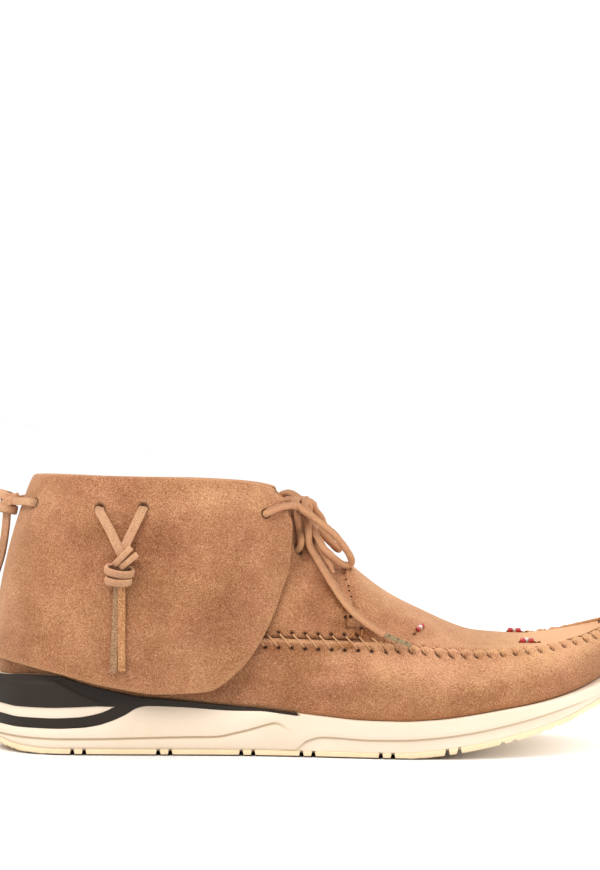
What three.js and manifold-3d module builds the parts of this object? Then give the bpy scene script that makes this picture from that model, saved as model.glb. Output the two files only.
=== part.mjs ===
// A suede moccasin ankle boot for the right foot, with a fold-over collar flap, on a moulded sneaker sole.
// Millimetres. +X points to the toe, +Y to the inner (medial) side, +Z up. The origin is on the floor,
// under the middle of the sole's length. Every curved form comes from the tables below: a row is a
// section of the last, and its columns are places on that section.
import * as THREE from 'three';
import { mergeVertices } from 'three/addons/utils/BufferGeometryUtils.js';
import Module from 'manifold-3d';

const wasm = await Module();
wasm.setup();

// ---------------------------------------------------------------- driving dimensions
const SOLE_LENGTH = 308;
const HALF_LENGTH = SOLE_LENGTH / 2;
const CLEARANCE = 0.3;
const OUTSOLE_THICKNESS = 3.0;
const GROOVE_DEPTH = 2.3;
const GROOVE_WIDTH = 1.7;
const GROOVE_TAPER = 2.6;
const STEP_DEPTH = 0.8;
const JOINT_INSET = 0.4 + 2 * STEP_DEPTH;
const MIDDLE_INSET = 20;
const DISH_INSET = 11;
const CRADLE_INSET = 4.4;
const FEATHER_INSET = 5.2;
const FEATHER_GAP = 0.6;
const UPPER_WALL = 2.0;
const TONGUE_WALL = 1.8;
const FLAP_WALL = 1.8;
const FLAP_GAP = 1.0;
const LACE_DIAMETER = 3.4;
const HOLE_DIAMETER = 5.4;
const STRIP_WIDTH = 3.5;
const BEAD_DIAMETER = 2.1;
const BEAD_THREAD = 0.8;
const INSOLE_THICKNESS = 3.5;
const SOLE_STATIONS = 24;
const SIDES = ['lateral', 'medial'];

// ---------------------------------------------------------------- small tools
// A table is written as a heading of column names and one row for each section.
function table(heading, rows) {
  const names = heading.split(' ');
  return rows.map((row) => Object.fromEntries(names.map((name, i) => [name, row[i]])));
}

// A smooth curve through the knots that never swings past them (monotone cubic).
function smoothCurve(keys, values) {
  const last = keys.length - 1;
  const slope = [];
  for (let i = 0; i < last; i += 1) slope.push((values[i + 1] - values[i]) / (keys[i + 1] - keys[i]));
  const tangent = values.map((_, i) => {
    if (i === 0) return slope[0];
    if (i === last) return slope[last - 1];
    if (slope[i - 1] * slope[i] <= 0) return 0;
    const before = keys[i] - keys[i - 1];
    const after = keys[i + 1] - keys[i];
    const w1 = 2 * after + before;
    const w2 = after + 2 * before;
    return (w1 + w2) / (w1 / slope[i - 1] + w2 / slope[i]);
  });
  return (key) => {
    const k = THREE.MathUtils.clamp(key, keys[0], keys[last]);
    let i = 0;
    while (i < last - 1 && k > keys[i + 1]) i += 1;
    const width = keys[i + 1] - keys[i];
    const t = (k - keys[i]) / width;
    const h00 = (1 + 2 * t) * (1 - t) * (1 - t);
    const h10 = t * (1 - t) * (1 - t);
    const h01 = t * t * (3 - 2 * t);
    const h11 = t * t * (t - 1);
    return h00 * values[i] + h10 * width * tangent[i] + h01 * values[i + 1] + h11 * width * tangent[i + 1];
  };
}

function columnCurve(rows, key, column) {
  return smoothCurve(rows.map((row) => row[key]), rows.map((row) => row[column]));
}

// A column of section rows read as one line round the shoe: down the lateral side from the first row to
// the last, at the heel, and back up the medial side. A closed line also passes from its end to its
// start. The curve takes a place counted in rows, and a side.
function ringCurve(rows, lateralColumn, medialColumn, closed = true) {
  const last = rows.length - 1;
  const line = rows.map((row) => row[lateralColumn]);
  for (let i = last - 1; i >= 0; i -= 1) line.push(rows[i][medialColumn]);
  const keys = line.map((_, i) => i);
  if (closed) {
    keys.unshift(-1);
    line.unshift(rows[1][medialColumn]);
    keys.push(2 * last + 1);
    line.push(rows[1][lateralColumn]);
  }
  const curve = smoothCurve(keys, line);
  return (place, side) => curve(side === 'lateral' ? place : 2 * last - place);
}

function bezier(a, b, c, d, t) {
  return new THREE.CubicBezierCurve3(a, b, c, d).getPoint(t);
}

// ---------------------------------------------------------------- mesh and solid tools
function geometryOf(points, faces) {
  const geometry = new THREE.BufferGeometry();
  geometry.setAttribute('position', new THREE.Float32BufferAttribute(points.flatMap((p) => [p.x, p.y, p.z]), 3));
  geometry.setIndex(faces.flat());
  return geometry;
}

function welded(geometry) {
  const plain = geometry.clone();
  for (const name of ['normal', 'uv']) plain.deleteAttribute(name);
  const merged = mergeVertices(plain, 1e-3);
  const index = merged.getIndex().array;
  const kept = [];
  for (let i = 0; i < index.length; i += 3) {
    const [a, b, c] = [index[i], index[i + 1], index[i + 2]];
    if (a !== b && b !== c && c !== a) kept.push(a, b, c);
  }
  merged.setIndex(kept);
  return merged;
}

function solidOf(geometry) {
  const merged = welded(geometry);
  const vertProperties = new Float32Array(merged.getAttribute('position').array);
  const triVerts = new Uint32Array(merged.getIndex().array);
  return new wasm.Manifold(new wasm.Mesh({ numProp: 3, vertProperties, triVerts }));
}

function geometryFrom(solid) {
  const mesh = solid.getMesh();
  const geometry = new THREE.BufferGeometry();
  geometry.setAttribute('position', new THREE.Float32BufferAttribute(mesh.vertProperties, 3));
  geometry.setIndex(new THREE.Uint32BufferAttribute(mesh.triVerts, 1));
  return geometry;
}

// The two triangles of a four-cornered patch, split along its shorter diagonal.
function patch(points, a, b, c, d) {
  if (points[a].distanceTo(points[c]) <= points[b].distanceTo(points[d])) return [[a, b, c], [a, c, d]];
  return [[a, b, d], [b, c, d]];
}

// Rings of equal point counts, stacked from the underside to the top: one closed body. The first and the
// last ring lie on the sole's spine, so they close the body.
function bodyOfRings(rings) {
  const points = rings.flat();
  const count = rings[0].length;
  const faces = [];
  for (let r = 0; r < rings.length - 1; r += 1) {
    for (let i = 0; i < count; i += 1) {
      const a = r * count + i;
      const b = r * count + ((i + 1) % count);
      faces.push(...patch(points, a, a + count, b + count, b));
    }
  }
  return geometryOf(points, faces);
}

// A sheet of points (rows of equal length) given a wall on its inner side. Rows follow one another from the
// lateral side round the heel to the medial side, and a row's points run upwards. Points that meet are
// merged first, so a sheet may close on itself; its open edges get a rim.
function wallFromSheet(rows, wall, closedRound) {
  const columns = rows[0].length;
  const points = rows.flat();
  const faces = [];
  const last = closedRound ? rows.length : rows.length - 1;
  for (let r = 0; r < last; r += 1) {
    const next = (r + 1) % rows.length;
    for (let c = 0; c < columns - 1; c += 1) {
      const a = r * columns + c;
      const b = next * columns + c;
      faces.push(...patch(points, a, a + 1, b + 1, b));
    }
  }
  const sheet = welded(geometryOf(points, faces));
  sheet.computeVertexNormals();
  const position = sheet.getAttribute('position');
  const normal = sheet.getAttribute('normal');
  const index = Array.from(sheet.getIndex().array);
  const outer = [];
  const inner = [];
  for (let i = 0; i < position.count; i += 1) {
    const p = new THREE.Vector3().fromBufferAttribute(position, i);
    const n = new THREE.Vector3().fromBufferAttribute(normal, i);
    outer.push(p);
    inner.push(p.clone().addScaledVector(n, -wall));
  }
  const all = [];
  const edges = new Map();
  for (let i = 0; i < index.length; i += 3) {
    const tri = [index[i], index[i + 1], index[i + 2]];
    all.push(tri, [tri[0] + position.count, tri[2] + position.count, tri[1] + position.count]);
    for (let k = 0; k < 3; k += 1) edges.set(`${tri[k]}_${tri[(k + 1) % 3]}`, [tri[k], tri[(k + 1) % 3]]);
  }
  for (const [a, b] of edges.values()) {
    if (edges.has(`${b}_${a}`)) continue;
    all.push([b, a, a + position.count], [b, a + position.count, b + position.count]);
  }
  return geometryOf([...outer, ...inner], all);
}

// A side view outline, x to the toe and y up, cut straight through the shoe from side to side.
function sidePrism(outline, width) {
  const shape = new THREE.Shape(outline);
  const geometry = new THREE.ExtrudeGeometry(shape, { depth: width, bevelEnabled: false, steps: 1 });
  geometry.translate(0, 0, -width / 2);
  geometry.rotateX(Math.PI / 2);
  return geometry;
}

const boot = new THREE.Group();
boot.name = 'moccasin_boot';

function add(name, geometry, material) {
  const mesh = new THREE.Mesh(welded(geometry), material);
  mesh.name = name;
  boot.add(mesh);
}

const suede = new THREE.MeshStandardMaterial({ color: 0xc8966b, roughness: 0.95, metalness: 0 });
const foam = new THREE.MeshStandardMaterial({ color: 0xf7ead3, roughness: 0.6, metalness: 0 });
const tread = new THREE.MeshStandardMaterial({ color: 0xdcc6a0, roughness: 0.7, metalness: 0 });
const cradlePlastic = new THREE.MeshStandardMaterial({ color: 0x453a34, roughness: 0.35, metalness: 0 });
const laceSuede = new THREE.MeshStandardMaterial({ color: 0xc18d60, roughness: 0.9, metalness: 0 });
const aglet = new THREE.MeshStandardMaterial({ color: 0x9a9470, roughness: 0.8, metalness: 0 });
const glass = new THREE.MeshStandardMaterial({ color: 0xb02020, roughness: 0.15, metalness: 0 });
const footbed = new THREE.MeshStandardMaterial({ color: 0xb98a60, roughness: 0.85, metalness: 0 });

// ---------------------------------------------------------------- sole outline and profiles
// The sole's widest outline from above, from the toe to the heel.
const soleOutline = table('x lateral medial', [
  [154, 10, 10],
  [147, -11, 30],
  [138, -24, 38.5],
  [125, -37, 45.5],
  [108, -47.5, 51],
  [90, -53, 53],
  [70, -55.5, 52],
  [50, -55, 48],
  [25, -51, 41.5],
  [0, -46, 36.5],
  [-30, -41.5, 34.5],
  [-60, -40, 35.5],
  [-90, -39.5, 37],
  [-115, -38, 37],
  [-133, -32, 32],
  [-146, -20.5, 21],
  [-154, 0, 0],
]);
const angleAt = (x) => Math.acos(THREE.MathUtils.clamp(x / HALF_LENGTH, -1, 1));
const outlineAngles = soleOutline.map((row) => angleAt(row.x));
const soleEdge = {
  lateral: smoothCurve(outlineAngles, soleOutline.map((row) => row.lateral)),
  medial: smoothCurve(outlineAngles, soleOutline.map((row) => row.medial)),
};

// The spine that every inset is measured towards.
const soleSpine = table('x y', [
  [-112, 0],
  [-40, -2],
  [40, -2],
  [80, 1],
  [104, 4],
]);
const spineY = columnCurve(soleSpine, 'x', 'y');
const SPINE_HEEL = soleSpine[0].x;
const SPINE_TOE = soleSpine[soleSpine.length - 1].x;

// Heights along the sole: the tread's underside, the two steps in the side, the top edge, and how deep
// the footbed lies below that edge.
const soleHeights = table('x under lowStep highStep edge dish', [
  [-154, 5.2, 5.2, 9.2, 36.0, 7.6],
  [-146, 2.6, 2.6, 8.7, 36.4, 8.2],
  [-136, 0.8, 0.8, 8.2, 37.2, 9.4],
  [-121, 0, 0, 7.9, 36.9, 9.9],
  [-100, 0, 0, 8.1, 31.8, 7.5],
  [-80, 0, 0, 8.6, 27.7, 5.5],
  [-60, 0, 0, 9.1, 25.8, 4.5],
  [-44, 0, 0, 9.4, 24.2, 4],
  [-34, 0, 0, 11.4, 23.3, 4],
  [-23, 0, 0, 14.4, 22.4, 3.8],
  [-10, 0, 0, 19.6, 20.8, 3.6],
  [-2, 0, 7.4, 40, 19.9, 3.4],
  [6, 0, 9.6, 40, 19.0, 3.2],
  [28, 0, 8.7, 40, 17.3, 3],
  [42, 0, 8.9, 40, 17.2, 3],
  [60, 1.6, 10.2, 40, 18.2, 3],
  [75, 4.0, 12.4, 40, 20.2, 3],
  [90, 7.1, 15.3, 40, 22.6, 3],
  [105, 10.8, 18.8, 40, 25.0, 3],
  [120, 15.2, 22.6, 40, 27.8, 3],
  [135, 21.0, 26.6, 40, 31.6, 3],
  [145, 25.3, 30.4, 42, 35.4, 3],
  [154, 29.5, 34.4, 44, 39.4, 3],
]);
const underAt = columnCurve(soleHeights, 'x', 'under');
const lowStepAt = columnCurve(soleHeights, 'x', 'lowStep');
const highStepAt = columnCurve(soleHeights, 'x', 'highStep');
const edgeAt = columnCurve(soleHeights, 'x', 'edge');
const dishAt = columnCurve(soleHeights, 'x', 'dish');

// A point of the sole's outline, moved in towards the spine.
function outlinePoint(side, angle, inset) {
  const x = HALF_LENGTH * Math.cos(angle);
  const y = soleEdge[side](angle);
  const sx = THREE.MathUtils.clamp(x, SPINE_HEEL, SPINE_TOE);
  const sy = spineY(sx);
  const keep = 1 - inset / Math.hypot(x - sx, y - sy);
  return new THREE.Vector2(sx + (x - sx) * keep, sy + (y - sy) * keep);
}

// The stations round the sole: down the lateral side from toe to heel and back up the medial side.
const soleStations = [];
for (let i = 0; i <= SOLE_STATIONS; i += 1) soleStations.push({ side: 'lateral', step: i });
for (let i = SOLE_STATIONS - 1; i > 0; i -= 1) soleStations.push({ side: 'medial', step: i });

// A ring at an inset; the height is worked out from the place along the sole. With the outline's own x a
// wall stays upright at the toe; with the point's x a face follows the profile.
function soleRing(inset, height, byOwnX = false) {
  return soleStations.map(({ side, step }) => {
    const angle = (Math.PI * step) / SOLE_STATIONS;
    const point = outlinePoint(side, angle, inset);
    const x = byOwnX ? point.x : HALF_LENGTH * Math.cos(angle);
    return new THREE.Vector3(point.x, point.y, height(x, side));
  });
}

function spineRing(height) {
  return soleStations.map(({ step }) => {
    const x = THREE.MathUtils.clamp(HALF_LENGTH * Math.cos((Math.PI * step) / SOLE_STATIONS), SPINE_HEEL, SPINE_TOE);
    return new THREE.Vector3(x, spineY(x), height(x));
  });
}

// ---------------------------------------------------------------- outsole
const grooveRows = table('x', [[-108.4], [-68.1], [-29.3], [-1.2], [35.6], [66.3], [92.1], [112], [129.5]]);
const GROOVE_SPACING = 5.6;

function outsoleSolid() {
  const top = (x) => underAt(x) + OUTSOLE_THICKNESS;
  const block = solidOf(bodyOfRings([
    spineRing(underAt),
    soleRing(MIDDLE_INSET, underAt, true),
    soleRing(JOINT_INSET + 1, underAt),
    soleRing(JOINT_INSET - 0.4, (x) => underAt(x) + 0.9),
    soleRing(JOINT_INSET - 0.4, (x) => top(x) - 0.4),
    soleRing(JOINT_INSET, top),
    soleRing(MIDDLE_INSET, top, true),
    spineRing(top),
  ]));
  let solid = block;
  for (const row of grooveRows) {
    for (const shift of [-GROOVE_SPACING / 2, GROOVE_SPACING / 2]) {
      const x = row.x + shift;
      const slope = Math.atan2(underAt(x + 2) - underAt(x - 2), 4);
      const depth = new THREE.Vector2(-Math.sin(slope), Math.cos(slope));
      const along = new THREE.Vector2(Math.cos(slope), Math.sin(slope));
      const base = new THREE.Vector2(x, underAt(x));
      const corner = (a, d) => base.clone().addScaledVector(along, a).addScaledVector(depth, d);
      const groove = sidePrism([
        corner(-GROOVE_WIDTH, -2),
        corner(GROOVE_WIDTH, -2),
        corner(GROOVE_WIDTH / GROOVE_TAPER, GROOVE_DEPTH),
        corner(-GROOVE_WIDTH / GROOVE_TAPER, GROOVE_DEPTH),
      ], 140);
      solid = solid.subtract(solidOf(groove));
    }
  }
  return solid;
}

// ---------------------------------------------------------------- midsole and heel cradle
// The side wall leans in a little towards the top. It has two steps: below each one the wall is set back.
function midsoleRings() {
  const floor = (x) => underAt(x) + OUTSOLE_THICKNESS + CLEARANCE;
  const low = (x) => Math.max(lowStepAt(x), floor(x) + 0.4);
  const high = (x) => THREE.MathUtils.clamp(highStepAt(x), low(x) + 0.9, edgeAt(x) - 1.2);
  const dish = (x) => edgeAt(x) - dishAt(x);
  return [
    spineRing(floor),
    soleRing(MIDDLE_INSET, floor, true),
    soleRing(JOINT_INSET, floor),
    soleRing(JOINT_INSET, low),
    soleRing(0.4 + STEP_DEPTH, (x) => low(x) + 0.4),
    soleRing(0.6 + STEP_DEPTH, high),
    soleRing(0.6, (x) => high(x) + 0.4),
    soleRing(1.2, (x) => edgeAt(x) - 0.6),
    soleRing(1.8, edgeAt),
    soleRing(9.5, edgeAt),
    soleRing(DISH_INSET, dish),
    soleRing(MIDDLE_INSET, dish, true),
    spineRing(dish),
  ];
}

// The cradle in side view: its underside and the leaf-shaped window, from the heel forward.
const cradleUnderside = table('x z', [
  [-160, 13.7],
  [-147, 13.4],
  [-138, 12.8],
  [-121, 12.7],
  [-108, 13.2],
  [-100, 14.3],
  [-93, 16.4],
  [-86, 19.6],
  [-80.5, 22.8],
  [-76, 23.7],
  [-60, 23.2],
  [-37, 21.4],
  [-12, 19.4],
]);
const cradleWindow = table('x lower upper', [
  [-160, 18.6, 23.6],
  [-147, 18.2, 23.1],
  [-138, 17.3, 22.3],
  [-124, 17.2, 22.3],
  [-109, 17.8, 22.8],
  [-99, 19.6, 23.3],
  [-92, 22.2, 23.4],
]);

function cradlePrism(grow) {
  const under = cradleUnderside.map((row) => new THREE.Vector2(row.x, row.z - grow));
  const front = under[under.length - 1].x + grow;
  under[under.length - 1].x = front;
  const outline = [...under, new THREE.Vector2(front, 60), new THREE.Vector2(-160, 60)];
  const lower = cradleWindow.map((row) => new THREE.Vector2(row.x - grow, row.lower + grow));
  const upper = cradleWindow.map((row) => new THREE.Vector2(row.x - grow, row.upper - grow)).reverse();
  const window = solidOf(sidePrism([...lower, ...upper], 150));
  return solidOf(sidePrism(outline, 150)).subtract(window);
}

function innerBlock(inset) {
  return solidOf(bodyOfRings([
    spineRing(() => -5),
    soleRing(inset, () => -5),
    soleRing(inset, () => 70),
    spineRing(() => 70),
  ]));
}

// ---------------------------------------------------------------- insole
function insoleGeometry() {
  const under = (x) => edgeAt(x) - dishAt(x) + CLEARANCE;
  const top = (x) => under(x) + INSOLE_THICKNESS;
  return bodyOfRings([
    spineRing(under),
    soleRing(MIDDLE_INSET, under, true),
    soleRing(DISH_INSET + CLEARANCE, under),
    soleRing(DISH_INSET + CLEARANCE, top),
    soleRing(MIDDLE_INSET, top, true),
    spineRing(top),
  ]);
}

// ---------------------------------------------------------------- upper
// Sections round the shoe, from the toe (first row) to the back of the heel (last row). Each is a rib that
// starts on the sole's edge at x = base, passes the moccasin seam, and ends on the upper's top line: the
// crown of the plug as far as the tongue seam, then the edge of the throat, then the collar.
// leans: angle from upright, towards the inside, at the base, below the seam, above the seam, at the top.
const sections = table(
  'base seamX seamL seamM seamZ topX topL topM topZL topZM leanBase leanWall leanPlug leanTop',
  [
    [154, 145, 9.5, 9.5, 60.0, 141.5, 9.5, 9.5, 58.4, 58.4, -6, 58, 100, 90],
    [146, 141, -6.5, 25.5, 58.2, 138.5, 9.5, 9.5, 56.8, 56.8, -8, 58, 98, 90],
    [130, 128, -23, 37, 54.2, 127, 8, 8, 54.2, 54.2, -10, 58, 90, 90],
    [106, 104.5, -35, 41.5, 50.2, 104, 4, 4, 53.4, 53.4, -12, 58, 82, 90],
    [80, 80, -40.5, 41.5, 49.0, 80, 1, 1, 55.2, 55.2, -12, 55, 74, 90],
    [54, 53, -43.5, 38.5, 50.8, 52.5, -0.5, -0.5, 65.6, 65.6, -11, 46, 56, 90],
    [38, 38, -43.5, 36.2, 52.6, 36, -1, -1, 74.2, 74.2, -10, 36, 42, 90],
    [27, 27, -42.8, 34.6, 53.4, 16.7, -1, -1, 88.4, 88.4, -9, 28, 24, 90],
    [24, 25, -42.5, 34.3, 53.5, 18.0, -18, 15.5, 84.4, 84.4, -9, 26, 18, 60],
    [22, 23.3, -42.3, 34.1, 53.6, 19.5, -34, 29, 70.0, 70.0, -9, 24, 14, 34],
    [20.5, 22.7, -42.2, 34.0, 53.7, 19.8, -36, 31, 71.2, 71.2, -9, 24, 12, 34],
    [13, 15.5, -41.3, 32.8, 53.8, 10.2, -26.5, 23, 84, 84, -8, 22, 10, 42],
    [4, 7, -40.3, 31.8, 54, 0.9, -15, 13.5, 97, 97, -8, 20, 8, 44],
    [-5, -1, -39.4, 31.2, 54.2, -5.5, -9, 8, 109, 109, -7, 18, 6, 32],
    [-16, -12, -38.6, 30.6, 54.6, -15, -21, 19.5, 120.2, 119.8, -7, 15, 5, 16],
    [-33, -30, -38.2, 30.8, 55, -30, -30.5, 27.5, 124.8, 122.8, -7, 10, 4, 6],
    [-63, -60, -38.4, 32.6, 56, -60, -35, 33, 126.7, 124.2, -7, 8, 3, 2],
    [-96, -94, -38.2, 34.6, 57.5, -91, -33.5, 32.5, 127.5, 124.6, -7, 8, 4, 3],
    [-124, -121, -33.4, 33, 59.5, -112, -26, 26, 127.8, 125.8, -8, 8, 6, 8],
    [-143, -139.5, -19.5, 19.5, 60.8, -126, -13.5, 13.5, 127.6, 126.8, -6, 6, 8, 14],
    [-154, -146.5, 0, 0, 61.2, -130.5, 0, 0, 127.3, 127.3, -4, 4, 8, 16],
  ],
);
const LAST_SECTION = sections.length - 1;
const CROWN_END = 7;
const STRAIGHT_START = 15;
const STRAIGHT_END = 17;
const sectionAngle = smoothCurve(sections.map((_, i) => i), sections.map((row) => angleAt(row.base)));
const ring = {
  seamX: ringCurve(sections, 'seamX', 'seamX'),
  seamY: ringCurve(sections, 'seamL', 'seamM'),
  seamZ: ringCurve(sections, 'seamZ', 'seamZ'),
  topX: ringCurve(sections, 'topX', 'topX'),
  topY: ringCurve(sections, 'topL', 'topM'),
  topZ: ringCurve(sections, 'topZL', 'topZM'),
  leanBase: ringCurve(sections, 'leanBase', 'leanBase'),
  leanWall: ringCurve(sections, 'leanWall', 'leanWall'),
  leanPlug: ringCurve(sections, 'leanPlug', 'leanPlug'),
  leanTop: ringCurve(sections, 'leanTop', 'leanTop'),
};

// The rib at a place: its three corners and the way in from the outline there.
function ribAt(place, side) {
  const angle = sectionAngle(place);
  const base = outlinePoint(side, angle, FEATHER_INSET);
  const deeper = outlinePoint(side, angle, FEATHER_INSET + 5);
  const inward = new THREE.Vector3(deeper.x - base.x, deeper.y - base.y, 0).normalize();
  const x = HALF_LENGTH * Math.cos(angle);
  return {
    foot: new THREE.Vector3(base.x, base.y, edgeAt(x) + FEATHER_GAP),
    seam: new THREE.Vector3(ring.seamX(place, side), ring.seamY(place, side), ring.seamZ(place, side)),
    top: new THREE.Vector3(ring.topX(place, side), ring.topY(place, side), ring.topZ(place, side)),
    inward,
    place,
    side,
  };
}

function leaning(inward, degrees) {
  const angle = THREE.MathUtils.degToRad(degrees);
  return inward.clone().multiplyScalar(Math.sin(angle)).setZ(Math.cos(angle));
}

// A point of the upper's outer face: v runs 0 to 1 up the wall to the seam, and 1 to 2 on to the top line.
function upperPoint(place, side, v) {
  const rib = ribAt(place, side);
  const wallReach = 0.4 * rib.foot.distanceTo(rib.seam);
  const plugReach = 0.38 * rib.seam.distanceTo(rib.top);
  if (v <= 1) {
    const a = rib.foot.clone().addScaledVector(leaning(rib.inward, ring.leanBase(place, side)), wallReach);
    const b = rib.seam.clone().addScaledVector(leaning(rib.inward, ring.leanWall(place, side)), -wallReach);
    return bezier(rib.foot, a, b, rib.seam, v);
  }
  const across = new THREE.Vector3(rib.top.x - rib.seam.x, rib.top.y - rib.seam.y, 0);
  const inward = across.length() > 12 ? across.normalize() : rib.inward;
  const a = rib.seam.clone().addScaledVector(leaning(inward, ring.leanPlug(place, side)), plugReach);
  const b = rib.top.clone().addScaledVector(leaning(inward, ring.leanTop(place, side)), -plugReach);
  return bezier(rib.seam, a, b, rib.top, v - 1);
}

// The seam stands up as a ridge on the forefoot and fades out at the quarters.
const RIDGE_HEIGHT = 1.5;
const wallLevels = [0, 0.22, 0.46, 0.7, 0.95, 1];
const plugLevels = [1.05, 1.28, 1.52, 1.78, 2];

function upperPlaces() {
  const places = [];
  for (let i = 0; i <= LAST_SECTION; i += 1) {
    places.push(i);
    const forefoot = i < CROWN_END - 1;
    const throat = i >= CROWN_END + 4 && i < STRAIGHT_START;
    const heel = i >= STRAIGHT_END && i < LAST_SECTION;
    if (forefoot || throat || heel) places.push(i + 0.5);
  }
  return places;
}

function upperRib(place, side) {
  const ridge = RIDGE_HEIGHT * THREE.MathUtils.clamp((CROWN_END + 3 - place) / 3, 0, 1);
  return [...wallLevels, ...plugLevels].map((v) => {
    const point = upperPoint(place, side, v);
    if (v > 0.9 && v < 1.02) point.z += ridge;
    return point;
  });
}

function upperGeometry() {
  const places = upperPlaces();
  const rows = places.map((place) => upperRib(place, 'lateral'));
  for (const place of places.slice(1, -1).reverse()) rows.push(upperRib(place, 'medial'));
  return wallFromSheet(rows, UPPER_WALL, true);
}

// The outward direction of a face given as a function of place, side and level.
function faceNormal(face, place, side, v) {
  const step = 0.02;
  const along = face(place + step, side, v).sub(face(place - step, side, v));
  const up = face(place, side, v + step).sub(face(place, side, v - step));
  const normal = up.cross(along).normalize();
  return side === 'lateral' ? normal : normal.negate();
}

// ---------------------------------------------------------------- tongue
// The tongue starts at the rear edge of the plug and climbs under the quarters: each row names the section
// whose quarter covers it, and the crest in the middle.
const tongueRows = table('place crestX crestZ', [
  [10.6, 12.6, 91.4],
  [11.4, 6.6, 96.2],
  [12.2, 0.6, 103.6],
  [13, -4.2, 110.6],
]);
const TONGUE_TUCK = 0.26;
const TONGUE_CREST_Y = -0.8;

function acrossCurve(points, count) {
  return new THREE.CatmullRomCurve3(points, false, 'centripetal').getPoints(count);
}

function underQuarter(place, side, v) {
  const point = upperPoint(place, side, v);
  return point.addScaledVector(faceNormal(upperPoint, place, side, v), -UPPER_WALL - 3 * CLEARANCE);
}

function tongueGeometry() {
  const seam = [
    upperPoint(CROWN_END + 2, 'lateral', 2),
    upperPoint(CROWN_END + 1, 'lateral', 2),
    upperPoint(CROWN_END, 'lateral', 2),
    upperPoint(CROWN_END + 1, 'medial', 2),
    upperPoint(CROWN_END + 2, 'medial', 2),
  ].map((point) => point.add(new THREE.Vector3(-CLEARANCE - 0.2, 0, 0.2)));
  seam[0].y += 1.6;
  seam[4].y -= 1.6;
  const rows = [seam];
  for (const row of tongueRows) {
    rows.push([
      underQuarter(row.place, 'lateral', 2 - TONGUE_TUCK),
      underQuarter(row.place, 'lateral', 1.98),
      new THREE.Vector3(row.crestX, TONGUE_CREST_Y, row.crestZ),
      underQuarter(row.place, 'medial', 1.98),
      underQuarter(row.place, 'medial', 2 - TONGUE_TUCK),
    ]);
  }
  return wallFromSheet(rows.map((row) => acrossCurve(row, 12)), TONGUE_WALL, false);
}

// ---------------------------------------------------------------- collar flap
// The flap folds over the collar and hangs outside the quarters. Each row names the place on the collar
// where its rib folds over, and the point of the hem where the rib ends.
const flapRows = table('place hemX hemL hemM hemZ', [
  [14.2, -13.2, -28, 27, 117.8],
  [14.4, -8.7, -30, 29.2, 107],
  [14.75, -9.2, -33.5, 33, 92],
  [15.15, -14.2, -38, 37.5, 75],
  [15.5, -22.3, -42, 41, 56],
  [15.8, -32.5, -45, 44, 41.6],
  [16.15, -48.8, -47, 46, 31.4],
  [16.6, -70, -48, 47, 30.5],
  [17.15, -95, -47, 46, 34],
  [17.8, -119, -42, 42, 39.8],
  [18.5, -138, -30, 30, 43.5],
  [19.2, -148.3, -15.5, 15.5, 44.8],
  [20, -151.5, 0, 0, 45.2],
]);
const LAST_FLAP_ROW = flapRows.length - 1;
const flapPlace = smoothCurve(flapRows.map((_, i) => i), flapRows.map((row) => row.place));
const hem = {
  x: ringCurve(flapRows, 'hemX', 'hemX', false),
  y: ringCurve(flapRows, 'hemL', 'hemM', false),
  z: ringCurve(flapRows, 'hemZ', 'hemZ', false),
};
const FOLD_DROP = 3;
const LIP_DROP = 7;
const FLAP_LEAN_TOP = 16;
const flapLevels = [0, 0.16, 0.34, 0.52, 0.7, 0.87, 1];

function collarFrame(place, side) {
  const step = 0.05;
  const ahead = new THREE.Vector3(ring.topX(place + step, side), ring.topY(place + step, side), 0);
  const behind = new THREE.Vector3(ring.topX(place - step, side), ring.topY(place - step, side), 0);
  const along = ahead.sub(behind).normalize();
  const outward = new THREE.Vector3(along.y, -along.x, 0).multiplyScalar(side === 'lateral' ? -1 : 1);
  const point = new THREE.Vector3(ring.topX(place, side), ring.topY(place, side), ring.topZ(place, side));
  return { point, outward };
}

// A point of the flap's outer face: v runs 0 at the hem to 1 at the fold's outer shoulder.
function flapPoint(row, side, v) {
  const { point, outward } = collarFrame(flapPlace(row), side);
  const stand = FLAP_GAP + FLAP_WALL;
  const end = new THREE.Vector3(hem.x(row, side), hem.y(row, side), hem.z(row, side));
  const towardsHem = end.clone().sub(point).normalize();
  const shoulder = point.clone().addScaledVector(outward, stand + 0.4).addScaledVector(towardsHem, FOLD_DROP);
  const reach = 0.36 * shoulder.distanceTo(end);
  const hang = end.clone().sub(shoulder).normalize();
  const lean = outward.clone().multiplyScalar(Math.sin(THREE.MathUtils.degToRad(FLAP_LEAN_TOP)));
  const a = shoulder.clone().addScaledVector(hang, reach).addScaledVector(lean, reach * 0.55);
  const b = end.clone().addScaledVector(hang, -reach).addScaledVector(lean, reach * 0.5);
  return bezier(end, b, a, shoulder, v);
}

function flapRib(row, side) {
  const { point, outward } = collarFrame(flapPlace(row), side);
  const stand = FLAP_GAP + FLAP_WALL;
  const rib = flapLevels.map((v) => flapPoint(row, side, v));
  const over = (out, up) => point.clone().addScaledVector(outward, out).add(new THREE.Vector3(0, 0, up));
  rib.push(over(stand - 0.3, 0.4), over(stand - 2, stand), over(-UPPER_WALL - stand + 2, stand));
  rib.push(over(-UPPER_WALL - stand - 0.3, 0.4), over(-UPPER_WALL - stand - 1.2, -LIP_DROP));
  return rib;
}

function flapGeometry() {
  const places = flapRows.map((_, i) => i);
  places.splice(LAST_FLAP_ROW, 0, LAST_FLAP_ROW - 0.5);
  places.splice(LAST_FLAP_ROW - 1, 0, LAST_FLAP_ROW - 1.5);
  const rows = places.map((place) => flapRib(place, 'lateral'));
  for (const place of places.slice(0, -1).reverse()) rows.push(flapRib(place, 'medial'));
  return wallFromSheet(rows, FLAP_WALL, false);
}

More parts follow.
